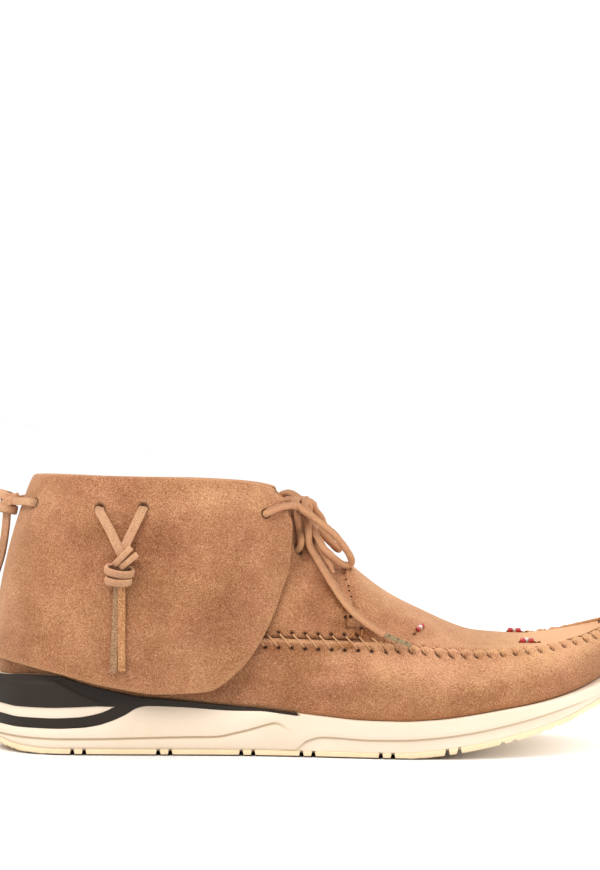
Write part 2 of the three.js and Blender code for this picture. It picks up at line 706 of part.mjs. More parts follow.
// ---------------------------------------------------------------- places on a curved face
// The place and level where a face passes through two given coordinates: along the shoe and up as it is
// seen from the side, or along and across as it is seen from above. The search starts from a coarse net
// and shortens its stride.
const VIEWS = { side: 'z', above: 'y' };

function placeOn(face, places, levels, side, view, along, other) {
  const miss = (place, v) => {
    const point = face(place, side, v);
    return Math.hypot(point.x - along, point[VIEWS[view]] - other);
  };
  let best = { place: places[0], v: levels[0], gap: Infinity };
  const consider = (place, v) => {
    const inside = place >= places[0] && place <= places[1] && v >= levels[0] && v <= levels[1];
    const gap = inside ? miss(place, v) : Infinity;
    if (gap < best.gap) best = { place, v, gap };
  };
  const net = 16;
  for (let i = 0; i <= net; i += 1) {
    for (let j = 0; j <= net; j += 1) {
      consider(THREE.MathUtils.lerp(...places, i / net), THREE.MathUtils.lerp(...levels, j / net));
    }
  }
  let stridePlace = (places[1] - places[0]) / net;
  let strideLevel = (levels[1] - levels[0]) / net;
  for (let round = 0; round < 24; round += 1) {
    const { place, v } = best;
    for (const i of [-1, 0, 1]) for (const j of [-1, 0, 1]) consider(place + i * stridePlace, v + j * strideLevel);
    stridePlace *= 0.7;
    strideLevel *= 0.7;
  }
  return best;
}

// A point at a height above a face, and the face's outward direction there.
function seatOn(face, places, levels, side, view, along, other, lift = 0) {
  const { place, v } = placeOn(face, places, levels, side, view, along, other);
  const normal = faceNormal(face, place, side, v);
  return { point: face(place, side, v).addScaledVector(normal, lift), normal };
}
function onFlap(side, x, z, lift) {
  return seatOn(flapPoint, [0.05, LAST_FLAP_ROW], [0.02, 0.98], side, 'side', x, z, lift);
}

function onQuarter(side, x, z, lift) {
  return seatOn(upperPoint, [CROWN_END + 3, 15], [1.05, 1.95], side, 'side', x, z, lift);
}

function onPlug(side, x, y, lift) {
  return seatOn(upperPoint, [1, CROWN_END], [1.06, 1.95], side, 'above', x, y, lift);
}

function holeThrough(seat, diameter) {
  const drill = new THREE.CylinderGeometry(diameter / 2, diameter / 2, 12, 7);
  drill.applyQuaternion(new THREE.Quaternion().setFromUnitVectors(new THREE.Vector3(0, 1, 0), seat.normal));
  drill.translate(seat.point.x, seat.point.y, seat.point.z);
  return solidOf(drill);
}

// ---------------------------------------------------------------- cords, strips, knots, beads
function cordGeometry(points, diameter, steps, sides = 8) {
  const path = new THREE.CatmullRomCurve3(points.map((p) => new THREE.Vector3(...p)), false, 'centripetal');
  const corners = [];
  for (let i = 0; i < sides; i += 1) {
    const angle = (2 * Math.PI * (i + 0.5)) / sides;
    corners.push(new THREE.Vector2(Math.cos(angle), Math.sin(angle)).multiplyScalar(diameter / 2));
  }
  return new THREE.ExtrudeGeometry(new THREE.Shape(corners), { steps, extrudePath: path, bevelEnabled: false });
}

// A flat strip along points, with its width across a fixed direction.
function stripGeometry(points, across, width, thickness) {
  const rings = points.map((point, i) => {
    const ahead = points[Math.min(i + 1, points.length - 1)];
    const behind = points[Math.max(i - 1, 0)];
    const tangent = ahead.clone().sub(behind).normalize();
    const face = new THREE.Vector3().crossVectors(tangent, across).normalize();
    const aside = across.clone().multiplyScalar(width / 2);
    const above = face.multiplyScalar(thickness / 2);
    const corner = (a, f) => point.clone().addScaledVector(aside, a).addScaledVector(above, f);
    return [corner(-1, -1), corner(-1, 1), corner(1, 1), corner(1, -1)];
  });
  const closed = (ring) => {
    const middle = ring.reduce((sum, p) => sum.add(p), new THREE.Vector3()).multiplyScalar(1 / ring.length);
    return ring.map(() => middle.clone());
  };
  return bodyOfRings([closed(rings[0]), ...rings, closed(rings[rings.length - 1])]);
}

function ellipsoid(centre, rx, ry, rz, around = 8, up = 6) {
  const geometry = new THREE.SphereGeometry(1, around, up);
  geometry.rotateX(Math.PI / 2);
  geometry.scale(rx, ry, rz);
  geometry.translate(centre.x, centre.y, centre.z);
  return geometry;
}

function joined(geometries) {
  return geometries.map(solidOf).reduce((sum, solid) => sum.add(solid));
}

// ---------------------------------------------------------------- tassels
// A side tassel: two straps come out of two holes in the flap, meet in a knot and hang down as two ends. A
// strap's places are given by how far it has come to the knot, how far it has dropped and its height over
// the flap. An end's places are given by how far it has dropped.
const SIDE_TASSEL = {
  holes: [[-98, 115.7], [-77.6, 116.1]],
  knot: [-87, 90],
  knotRadii: [6.6, 4.6, 8.6],
  strap: table('toKnot drop lift', [
    [0.06, 1.6, 2.7],
    [0.5, 9.5, 2.2],
  ]),
  strapEnd: new THREE.Vector3(1.4, 0, 5.6),
  ends: [[-91.6, 40], [-87.6, 41]],
  endStart: 6,
  endDrops: [0.3, 0.65, 1],
};
const STRIP_THICKNESS = 1.5;
const STRIP_LIFT = STRIP_THICKNESS / 2 + CLEARANCE + 0.5;

function sideTassel(side) {
  const { holes, knot: [knotX, knotZ], knotRadii, strap, strapEnd, ends, endStart, endDrops } = SIDE_TASSEL;
  const knot = onFlap(side, knotX, knotZ, knotRadii[1] + CLEARANCE + 0.7);
  const pieces = [ellipsoid(knot.point, ...knotRadii)];
  for (const [x, z] of holes) {
    const points = [onFlap(side, x, z, -FLAP_WALL / 2).point];
    for (const { toKnot, drop, lift } of strap) {
      points.push(onFlap(side, THREE.MathUtils.lerp(x, knotX, toKnot), z - drop, lift).point);
    }
    const end = strapEnd.clone();
    end.x *= Math.sign(x - knotX);
    points.push(knot.point.clone().add(end));
    const across = new THREE.Vector3(z - knotZ, 0, knotX - x).normalize();
    pieces.push(stripGeometry(points, across, STRIP_WIDTH, STRIP_THICKNESS));
  }
  for (const [x, z] of ends) {
    const points = [knot.point.clone().add(new THREE.Vector3((x - knotX) * 0.4, 0, -endStart))];
    for (const t of endDrops) {
      const px = THREE.MathUtils.lerp(knotX, x, 0.5 + 0.5 * t);
      points.push(onFlap(side, px, THREE.MathUtils.lerp(knotZ - endStart, z, t), STRIP_LIFT).point);
    }
    pieces.push(stripGeometry(points, new THREE.Vector3(1, 0, 0), STRIP_WIDTH, STRIP_THICKNESS));
  }
  return joined(pieces);
}

// The heel tassel hangs behind the heel from a strap that passes through a hole on either side of it. Its
// places are written for one side: y is the distance from the middle.
const HEEL_TASSEL = {
  hole: [-129.5, 117.3],
  holeLift: 2.6,
  strapSide: [-139.5, 7.5, 117],
  knot: new THREE.Vector3(-144, 0, 115.3),
  knotRadii: [4.4, 5.4, 5],
  strapEnd: [0.5, 1.5, 0.6],
  endStart: [-0.6, 1.2, -3],
  endApart: 2.1,
  drape: [[-145.4, 104], [-147.4, 92], [-150.6, 81], [-152.8, 68]],
};

function heelTassel() {
  const { hole, holeLift, strapSide, knot, knotRadii, strapEnd, endStart, endApart, drape } = HEEL_TASSEL;
  const pieces = [ellipsoid(knot, ...knotRadii)];
  for (const side of SIDES) {
    const out = side === 'lateral' ? -1 : 1;
    const mirrored = ([x, y, z]) => new THREE.Vector3(x, out * y, z);
    const start = onFlap(side, ...hole, -FLAP_WALL / 2).point;
    const lifted = onFlap(side, ...hole, holeLift).point;
    const strap = [start, lifted, mirrored(strapSide), knot.clone().add(mirrored(strapEnd))];
    pieces.push(stripGeometry(strap, new THREE.Vector3(0, 0, 1), STRIP_WIDTH, STRIP_THICKNESS));
    const end = [knot.clone().add(mirrored(endStart)), ...drape.map(([x, z]) => mirrored([x, endApart, z]))];
    pieces.push(stripGeometry(end, new THREE.Vector3(0, 1, 0), STRIP_WIDTH, STRIP_THICKNESS));
  }
  return joined(pieces);
}

// ---------------------------------------------------------------- lace
// The lace comes out of a hole in each front corner of the flap and of an eyelet in each quarter, and the
// four stretches meet behind the bow's knot. The places they pass are written for one side: y is the
// distance from the middle.
const FLAP_LACE_HOLE = [-20.6, 113];
const FLAP_EDGE_PLACE = [-15.4, 115];
const STRAND_WAY = [[-8.6, 28.6, 117], [-8.6, 15, 118.2]];
const QUARTER_EYELET = [-5.6, 95.4];
const QUARTER_FACE_PLACE = [-6.6, 103.6];
const RISER_WAY = [[-5.6, 15.4, 110.2], [-7.6, 10.6, 116.2]];
const RISER_RISE = 2;
const KNOT = new THREE.Vector3(-3.4, -2.5, 116.5);
const KNOT_RADII = [4.2, 5, 4.2];
const MEETING = new THREE.Vector3(-11, -1, 117);
const MEETING_RADII = [2.4, 3.4, 2.4];

function laceCrossing() {
  const pieces = [ellipsoid(MEETING, ...MEETING_RADII)];
  const outOfHole = (seat, wall) => seat.point.clone().addScaledVector(seat.normal, wall / 2 + LACE_DIAMETER * 0.8);
  for (const side of SIDES) {
    const out = side === 'lateral' ? -1 : 1;
    const mirrored = ([x, y, z]) => new THREE.Vector3(x, out * y, z);
    const flapStart = onFlap(side, ...FLAP_LACE_HOLE, -FLAP_WALL / 2);
    const overEdge = onFlap(side, ...FLAP_EDGE_PLACE, LACE_DIAMETER / 2 + 3 * CLEARANCE).point;
    const flapLift = outOfHole(flapStart, FLAP_WALL);
    const strand = [flapStart.point, flapLift, overEdge, ...STRAND_WAY.map(mirrored), MEETING];
    pieces.push(cordGeometry(strand.map((p) => p.toArray()), LACE_DIAMETER, 7));
    const eyeletStart = onQuarter(side, ...QUARTER_EYELET, -UPPER_WALL / 2);
    const eyeletLift = outOfHole(eyeletStart, UPPER_WALL);
    eyeletLift.z += RISER_RISE;
    const upTheFace = onQuarter(side, ...QUARTER_FACE_PLACE, LACE_DIAMETER / 2 + 3 * CLEARANCE).point;
    const riser = [eyeletStart.point, eyeletLift, upTheFace, ...RISER_WAY.map(mirrored), MEETING];
    pieces.push(cordGeometry(riser.map((p) => p.toArray()), LACE_DIAMETER, 7));
  }
  return joined(pieces);
}

// The bow: two loops and two ends, each from the knot outwards (x, y, z).
const laceRoutes = {
  lace_loop_lateral: [
    [-1.6, -8.3, 118.5],
    [-2.4, -12.2, 117.2],
    [-2.0, -16.6, 114.6],
    [1.2, -20.2, 110.9],
    [4.4, -21.4, 108.6],
    [7.7, -21.4, 105.9],
    [10.9, -21.0, 103.2],
    [14.2, -20.0, 99.3],
    [16.9, -18.6, 95.6],
    [19.1, -17.0, 91.9],
    [19.8, -15.4, 89.0],
    [18.6, -14.6, 87.6],
    [16.4, -16.4, 88.2],
    [13.7, -19.4, 89.8],
    [10.6, -24.8, 93.4],
    [7.0, -24.7, 97.1],
    [4.8, -21.8, 101.0],
    [2.2, -15.2, 105.2],
    [-0.9, -9.0, 110.4],
  ],
  lace_loop_medial: [
    [1.3, 1.5, 118.0],
    [2.2, 4.0, 113.8],
    [5.7, 8.2, 108.5],
    [7.1, 9.4, 104.8],
    [8.3, 9.8, 101.3],
    [10.1, 9.4, 97.6],
    [12.3, 7.6, 94.6],
    [13.6, 5.0, 93.6],
    [12.2, 2.8, 94.6],
    [9.1, 1.8, 97.0],
    [6.5, 1.2, 99.9],
    [3.1, 0.8, 103.8],
    [0.2, 0.6, 108.4],
    [-1.2, 0.4, 112.8],
  ],
  lace_end_long: [
    [-2.6, -9.8, 113.8],
    [-1.2, -15.2, 109.4],
    [-0.6, -19.4, 103.6],
    [-0.2, -21.2, 97.8],
    [3.2, -24.8, 91.8],
    [6.6, -28.6, 86.2],
    [9.8, -32.6, 81.2],
    [13.4, -36.4, 75.8],
    [17.0, -39.8, 71.0],
    [21.0, -42.2, 67.0],
    [25.6, -44.2, 63.4],
    [30.4, -45.6, 60.2],
    [34.2, -46.6, 57.9],
  ],
  lace_end_short: [
    [-1.0, -4.6, 111.4],
    [2.0, -7.2, 106.9],
    [1.8, -12.6, 102.6],
    [3.2, -16.6, 98.6],
    [5.4, -20.2, 94.9],
    [8.6, -23.3, 90.2],
    [10.8, -27.4, 85.5],
  ],
};
const loopSteps = { lace_loop_lateral: 18, lace_loop_medial: 13, lace_end_long: 12, lace_end_short: 5 };
const AGLET_DIAMETER = 2.6;
const AGLET_ROUTE = [[34.5, -46.65, 57.7], [40.4, -47.5, 55.1], [46.6, -47.9, 52.6]];

// ---------------------------------------------------------------- bead rows
// Three beads threaded in a row and sewn down: x and y of the beads' places on the plug.
const beadRows = {
  beads_vamp: { side: 'lateral', places: [[52.4, -28.2], [51.6, -29.9], [50.8, -31.6]] },
  beads_toe_lateral: { side: 'lateral', places: [[100.2, -24], [102.2, -23], [104.2, -24]] },
  beads_toe_medial: { side: 'medial', places: [[96.6, 12], [98.6, 12.8], [100.6, 12]] },
};

function beadRow({ side, places }) {
  const radius = BEAD_DIAMETER / 2;
  const centres = places.map(([x, y]) => onPlug(side, x, y, radius + CLEARANCE).point);
  const beads = centres.map((centre) => ellipsoid(centre, radius, radius, radius, 5, 4));
  return joined([...beads, cordGeometry(centres.map((p) => p.toArray()), BEAD_THREAD, 2, 3)]);
}

// ---------------------------------------------------------------- assembly
add('outsole', geometryFrom(outsoleSolid()), tread);

const midsoleBlock = solidOf(bodyOfRings(midsoleRings()));
const cradleSolid = midsoleBlock.subtract(innerBlock(CRADLE_INSET)).intersect(cradlePrism(0));
const cradleBand = innerBlock(-3).subtract(innerBlock(CRADLE_INSET + CLEARANCE));
const cradleSeat = cradleBand.intersect(cradlePrism(CLEARANCE));
add('midsole', geometryFrom(midsoleBlock.subtract(cradleSeat)), foam);
add('heel_cradle', geometryFrom(cradleSolid), cradlePlastic);
add('insole', insoleGeometry(), footbed);

let upperSolid = solidOf(upperGeometry());
let flapSolid = solidOf(flapGeometry());
for (const side of SIDES) {
  upperSolid = upperSolid.subtract(holeThrough(onQuarter(side, ...QUARTER_EYELET), HOLE_DIAMETER));
  for (const place of [FLAP_LACE_HOLE, ...SIDE_TASSEL.holes, HEEL_TASSEL.hole]) {
    const drill = holeThrough(onFlap(side, ...place), HOLE_DIAMETER);
    flapSolid = flapSolid.subtract(drill);
  }
}
add('upper', geometryFrom(upperSolid), suede);
add('tongue', tongueGeometry(), suede);
add('collar_flap', geometryFrom(flapSolid), suede);
add('tassel_lateral', geometryFrom(sideTassel('lateral')), suede);
add('tassel_medial', geometryFrom(sideTassel('medial')), suede);
add('tassel_heel', geometryFrom(heelTassel()), suede);
add('lace_crossing', geometryFrom(laceCrossing()), laceSuede);
add('lace_knot', ellipsoid(KNOT, ...KNOT_RADII), laceSuede);
for (const [name, route] of Object.entries(laceRoutes)) {
  add(name, cordGeometry(route, LACE_DIAMETER, loopSteps[name]), laceSuede);
}
add('aglet', cordGeometry(AGLET_ROUTE, AGLET_DIAMETER, 2), aglet);
for (const [name, row] of Object.entries(beadRows)) add(name, geometryFrom(beadRow(row)), glass);

export default boot;
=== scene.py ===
"""Looks of the moccasin boot: camera, light, cords, and a fine piece for each CAD node.

Shapes are worked out in millimetres from the same tables as the part's own source, and turned into
metres when a mesh is made. +X points to the toe, +Y to the inner side, +Z up. A ring coordinate u counts
section rows: from the toe down the lateral side to the heel, and on up the medial side to the toe.
"""

import math

import bpy
import mathutils
import numpy as np
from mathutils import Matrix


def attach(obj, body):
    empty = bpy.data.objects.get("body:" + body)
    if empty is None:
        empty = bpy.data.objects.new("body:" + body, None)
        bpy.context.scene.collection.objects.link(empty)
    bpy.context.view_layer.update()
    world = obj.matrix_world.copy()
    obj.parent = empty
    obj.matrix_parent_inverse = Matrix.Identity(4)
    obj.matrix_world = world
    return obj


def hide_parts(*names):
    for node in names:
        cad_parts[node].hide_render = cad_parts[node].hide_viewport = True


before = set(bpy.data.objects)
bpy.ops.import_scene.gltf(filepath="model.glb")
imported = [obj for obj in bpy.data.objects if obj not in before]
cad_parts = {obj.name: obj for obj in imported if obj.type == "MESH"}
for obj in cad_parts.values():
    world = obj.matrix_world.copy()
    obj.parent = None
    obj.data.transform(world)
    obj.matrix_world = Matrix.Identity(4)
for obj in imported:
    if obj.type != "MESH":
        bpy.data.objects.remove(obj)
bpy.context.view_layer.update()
MM = 0.001

# ---- driving dimensions, in millimetres
SOLE_LENGTH = 308.0
HALF_LENGTH = SOLE_LENGTH / 2
CLEARANCE = 0.3
OUTSOLE_THICKNESS = 3.0
GROOVE_DEPTH = 2.3
GROOVE_WIDTH = 1.7
GROOVE_SPACING = 5.6
STEP_DEPTH = 0.8
JOINT_INSET = 0.4 + 2 * STEP_DEPTH
DISH_INSET = 11.0
FEATHER_INSET = 5.2
FEATHER_GAP = 0.6
UPPER_WALL = 2.0
TONGUE_WALL = 1.8
FLAP_WALL = 1.8
FLAP_GAP = 1.0
FOLD_DROP = 3.0
LIP_DROP = 7.0
LACE_DIAMETER = 3.4
STRIP_THICKNESS = 1.5
BEAD_DIAMETER = 2.1
BEAD_THREAD = 0.8
INSOLE_THICKNESS = 3.5
STITCH_PITCH = 6.2
THREAD_DIAMETER = 0.68
SIDES = (-1, 1)


# ---- tables and curves
def table(heading, rows):
    """Named columns of a table, one row for each section."""
    columns = np.array(rows, dtype=float).T
    return dict(zip(heading.split(), columns))


class SmoothCurve:
    """A smooth curve through the knots that never swings past them (monotone cubic)."""

    def __init__(self, keys, values):
        self.keys = np.array(keys, dtype=float)
        self.values = np.array(values, dtype=float)
        width = np.diff(self.keys)
        slope = np.diff(self.values) / width
        tangent = np.zeros(len(self.keys))
        tangent[0] = slope[0]
        tangent[-1] = slope[-1]
        same = slope[:-1] * slope[1:] > 0
        first = np.where(same, slope[:-1], 1.0)
        second = np.where(same, slope[1:], 1.0)
        w1 = 2 * width[1:] + width[:-1]
        w2 = width[1:] + 2 * width[:-1]
        tangent[1:-1] = np.where(same, (w1 + w2) / (w1 / first + w2 / second), 0.0)
        self.tangent = tangent

    def __call__(self, key):
        k = np.clip(np.asarray(key, dtype=float), self.keys[0], self.keys[-1])
        i = np.clip(np.searchsorted(self.keys, k, side="right") - 1, 0, len(self.keys) - 2)
        width = self.keys[i + 1] - self.keys[i]
        t = (k - self.keys[i]) / width
        start = (1 + 2 * t) * (1 - t) ** 2 * self.values[i] + t * (1 - t) ** 2 * width * self.tangent[i]
        end = t * t * (3 - 2 * t) * self.values[i + 1] + t * t * (t - 1) * width * self.tangent[i + 1]
        return start + end


def ring_curve(lateral, medial, closed=True):
    """Two columns read as one line from the first row, round the last row, and back to the first."""
    line = np.concatenate([lateral, medial[-2::-1]])
    keys = np.arange(len(line), dtype=float)
    if closed:
        keys = np.concatenate([[-1.0], keys, [len(line)]])
        line = np.concatenate([[medial[1]], line, [lateral[1]]])
    return SmoothCurve(keys, line)


def smoothstep(low, high, x):
    """A smooth rise from 0 at low to 1 at high."""
    t = np.clip((np.asarray(x, dtype=float) - low) / (high - low), 0.0, 1.0)
    return t * t * (3 - 2 * t)


def hump(x, width):
    """A soft hump of height 1 at x = 0."""
    return np.exp(-np.square(x / width))


def falling(low, high, x):
    """A smooth fall from 1 at low to 0 at high."""
    return 1 - smoothstep(low, high, x)


def norm(v):
    """The lengths of vectors."""
    return np.linalg.norm(v, axis=-1)


def running_total(steps):
    """The sums of the steps so far, from 0."""
    return np.concatenate([[0.0], np.cumsum(steps)])


def unit(v):
    """Directions of length 1."""
    return v / np.maximum(np.linalg.norm(v, axis=-1, keepdims=True), 1e-9)


def bezier(a, b, c, d, t):
    """Places on a cubic curve from a to d, steered by b and c."""
    t = np.asarray(t)[..., None]
    return a * (1 - t) ** 3 + 3 * b * t * (1 - t) ** 2 + 3 * c * t * t * (1 - t) + d * t ** 3


def vec(x, y, z):
    """Points or directions from their three parts, each a number or an array."""
    return np.stack(np.broadcast_arrays(*(np.asarray(a, dtype=float) for a in (x, y, z))), axis=-1)


def spline(points, count):
    """A centripetal Catmull-Rom line through points, with count + 1 places on it."""
    p = np.array(points, dtype=float)
    p = np.vstack([2 * p[0] - p[1], p, 2 * p[-1] - p[-2]])
    knots = running_total(np.sqrt(norm(np.diff(p, axis=0))))
    places = np.linspace(0, len(p) - 3 - 1e-9, count + 1)
    line = []
    for place in places:
        i = int(place) + 1
        t = knots[i] + (place - int(place)) * (knots[i + 1] - knots[i])
        k = knots[i - 1:i + 3]
        q = p[i - 1:i + 3]
        a = [((k[j + 1] - t) * q[j] + (t - k[j]) * q[j + 1]) / (k[j + 1] - k[j]) for j in range(3)]
        b = [((k[j + 2] - t) * a[j] + (t - k[j]) * a[j + 1]) / (k[j + 2] - k[j]) for j in range(2)]
        line.append(((k[2] - t) * b[0] + (t - k[1]) * b[1]) / (k[2] - k[1]))
    return np.array(line)


def even_line(points, step):
    """A smooth line through points with places about one step apart."""
    fine = spline(points, 24 * len(points))
    length = running_total(norm(np.diff(fine, axis=0)))
    count = max(2, int(round(length[-1] / step)))
    at = np.linspace(0, length[-1], count + 1)
    return np.stack([np.interp(at, length, fine[:, i]) for i in range(3)], axis=-1)


# ---- the sole's tables
sole_outline = table("x lateral medial", [
    [154, 10, 10],
    [147, -11, 30],
    [138, -24, 38.5],
    [125, -37, 45.5],
    [108, -47.5, 51],
    [90, -53, 53],
    [70, -55.5, 52],
    [50, -55, 48],
    [25, -51, 41.5],
    [0, -46, 36.5],
    [-30, -41.5, 34.5],
    [-60, -40, 35.5],
    [-90, -39.5, 37],
    [-115, -38, 37],
    [-133, -32, 32],
    [-146, -20.5, 21],
    [-154, 0, 0],
])
sole_spine = table("x y", [[-112, 0], [-40, -2], [40, -2], [80, 1], [104, 4]])
sole_heights = table("x under low_step high_step edge dish", [
    [-154, 5.2, 5.2, 9.2, 36.0, 7.6],
    [-146, 2.6, 2.6, 8.7, 36.4, 8.2],
    [-136, 0.8, 0.8, 8.2, 37.2, 9.4],
    [-121, 0, 0, 7.9, 36.9, 9.9],
    [-100, 0, 0, 8.1, 31.8, 7.5],
    [-80, 0, 0, 8.6, 27.7, 5.5],
    [-60, 0, 0, 9.1, 25.8, 4.5],
    [-44, 0, 0, 9.4, 24.2, 4],
    [-34, 0, 0, 11.4, 23.3, 4],
    [-23, 0, 0, 14.4, 22.4, 3.8],
    [-10, 0, 0, 19.6, 20.8, 3.6],
    [-2, 0, 7.4, 40, 19.9, 3.4],
    [6, 0, 9.6, 40, 19.0, 3.2],
    [28, 0, 8.7, 40, 17.3, 3],
    [42, 0, 8.9, 40, 17.2, 3],
    [60, 1.6, 10.2, 40, 18.2, 3],
    [75, 4.0, 12.4, 40, 20.2, 3],
    [90, 7.1, 15.3, 40, 22.6, 3],
    [105, 10.8, 18.8, 40, 25.0, 3],
    [120, 15.2, 22.6, 40, 27.8, 3],
    [135, 21.0, 26.6, 40, 31.6, 3],
    [145, 25.3, 30.4, 42, 35.4, 3],
    [154, 29.5, 34.4, 44, 39.4, 3],
])
groove_places = [-108.4, -68.1, -29.3, -1.2, 35.6, 66.3, 92.1, 112, 129.5]
cradle_underside = table("x z", [
    [-160, 13.7],
    [-147, 13.4],
    [-138, 12.8],
    [-121, 12.7],
    [-108, 13.2],
    [-100, 14.3],
    [-93, 16.4],
    [-86, 19.6],
    [-80.5, 22.8],
    [-76, 23.7],
    [-60, 23.2],
    [-37, 21.4],
    [-12, 19.4],
])
cradle_window = table("x lower upper", [
    [-160, 18.6, 23.6],
    [-147, 18.2, 23.1],
    [-138, 17.3, 22.3],
    [-124, 17.2, 22.3],
    [-109, 17.8, 22.8],
    [-99, 19.6, 23.3],
    [-92, 22.2, 23.4],
])


def angle_at(x):
    """The outline's angle for a place along the sole: 0 at the toe, pi at the heel."""
    return np.arccos(np.clip(np.asarray(x, dtype=float) / HALF_LENGTH, -1, 1))


def column_curve(rows, name):
    """A table's column as a smooth curve along x."""
    return SmoothCurve(rows["x"], rows[name])


edge_lateral = SmoothCurve(angle_at(sole_outline["x"]), sole_outline["lateral"])
edge_medial = SmoothCurve(angle_at(sole_outline["x"]), sole_outline["medial"])
spine_y = column_curve(sole_spine, "y")
SPINE_HEEL = sole_spine["x"][0]
SPINE_TOE = sole_spine["x"][-1]
under_at = column_curve(sole_heights, "under")
low_step_at = column_curve(sole_heights, "low_step")
high_step_at = column_curve(sole_heights, "high_step")
edge_at = column_curve(sole_heights, "edge")
dish_at = column_curve(sole_heights, "dish")
cradle_underside_at = column_curve(cradle_underside, "z")
window_lower = column_curve(cradle_window, "lower")
window_upper = column_curve(cradle_window, "upper")


def outline_point(medial, angle, inset):
    """x and y of the sole's outline at an angle, moved in towards the spine."""
    x = HALF_LENGTH * np.cos(angle)
    y = np.where(medial, edge_medial(angle), edge_lateral(angle))
    sx = np.clip(x, SPINE_HEEL, SPINE_TOE)
    sy = spine_y(sx)
    keep = 1 - inset / np.maximum(np.hypot(x - sx, y - sy), 1e-6)
    return sx + (x - sx) * keep, sy + (y - sy) * keep


# ---- the upper's tables
sections = table(
    "base seam_x seam_l seam_m seam_z top_x top_l top_m top_zl top_zm lean_base lean_wall lean_plug lean_top",
    [
        [154, 145, 9.5, 9.5, 60.0, 141.5, 9.5, 9.5, 58.4, 58.4, -6, 58, 100, 90],
        [146, 141, -6.5, 25.5, 58.2, 138.5, 9.5, 9.5, 56.8, 56.8, -8, 58, 98, 90],
        [130, 128, -23, 37, 54.2, 127, 8, 8, 54.2, 54.2, -10, 58, 90, 90],
        [106, 104.5, -35, 41.5, 50.2, 104, 4, 4, 53.4, 53.4, -12, 58, 82, 90],
        [80, 80, -40.5, 41.5, 49.0, 80, 1, 1, 55.2, 55.2, -12, 55, 74, 90],
        [54, 53, -43.5, 38.5, 50.8, 52.5, -0.5, -0.5, 65.6, 65.6, -11, 46, 56, 90],
        [38, 38, -43.5, 36.2, 52.6, 36, -1, -1, 74.2, 74.2, -10, 36, 42, 90],
        [27, 27, -42.8, 34.6, 53.4, 16.7, -1, -1, 88.4, 88.4, -9, 28, 24, 90],
        [24, 25, -42.5, 34.3, 53.5, 18.0, -18, 15.5, 84.4, 84.4, -9, 26, 18, 60],
        [22, 23.3, -42.3, 34.1, 53.6, 19.5, -34, 29, 70.0, 70.0, -9, 24, 14, 34],
        [20.5, 22.7, -42.2, 34.0, 53.7, 19.8, -36, 31, 71.2, 71.2, -9, 24, 12, 34],
        [13, 15.5, -41.3, 32.8, 53.8, 10.2, -26.5, 23, 84, 84, -8, 22, 10, 42],
        [4, 7, -40.3, 31.8, 54, 0.9, -15, 13.5, 97, 97, -8, 20, 8, 44],
        [-5, -1, -39.4, 31.2, 54.2, -5.5, -9, 8, 109, 109, -7, 18, 6, 32],
        [-16, -12, -38.6, 30.6, 54.6, -15, -21, 19.5, 120.2, 119.8, -7, 15, 5, 16],
        [-33, -30, -38.2, 30.8, 55, -30, -30.5, 27.5, 124.8, 122.8, -7, 10, 4, 6],
        [-63, -60, -38.4, 32.6, 56, -60, -35, 33, 126.7, 124.2, -7, 8, 3, 2],
        [-96, -94, -38.2, 34.6, 57.5, -91, -33.5, 32.5, 127.5, 124.6, -7, 8, 4, 3],
        [-124, -121, -33.4, 33, 59.5, -112, -26, 26, 127.8, 125.8, -8, 8, 6, 8],
        [-143, -139.5, -19.5, 19.5, 60.8, -126, -13.5, 13.5, 127.6, 126.8, -6, 6, 8, 14],
        [-154, -146.5, 0, 0, 61.2, -130.5, 0, 0, 127.3, 127.3, -4, 4, 8, 16],
    ],
)
LAST = len(sections["base"]) - 1
TURN = 2 * LAST
CROWN_END = 7
PLUG_END = 9
QUARTER_START = 10
WALL_REACH = 0.4
PLUG_REACH = 0.38
section_angle = SmoothCurve(np.arange(LAST + 1), angle_at(sections["base"]))
ring = {
    name: ring_curve(sections[name], sections[name])
    for name in ("seam_x", "seam_z", "top_x", "lean_base", "lean_wall", "lean_plug", "lean_top")
}
ring["seam_y"] = ring_curve(sections["seam_l"], sections["seam_m"])
ring["top_y"] = ring_curve(sections["top_l"], sections["top_m"])
ring["top_z"] = ring_curve(sections["top_zl"], sections["top_zm"])


def seam_line(u):
    return vec(ring["seam_x"](u), ring["seam_y"](u), ring["seam_z"](u))


def top_line(u):
    return vec(ring["top_x"](u), ring["top_y"](u), ring["top_z"](u))


def leaning(inward, degrees):
    """The upward direction tipped inwards by an angle."""
    angle = np.radians(degrees)
    return inward * np.sin(angle)[..., None] + vec(0, 0, 1) * np.cos(angle)[..., None]


def rib(start, end, inward, reach, leans, t):
    """A curve from start to end that leans inwards by one angle at its start and another at its end."""
    reach = reach * norm(start - end)[..., None]
    lean_start, lean_end = (leaning(inward, lean) * reach for lean in leans)
    return bezier(start, start + lean_start, end - lean_end, end, np.clip(t, 0, 1))


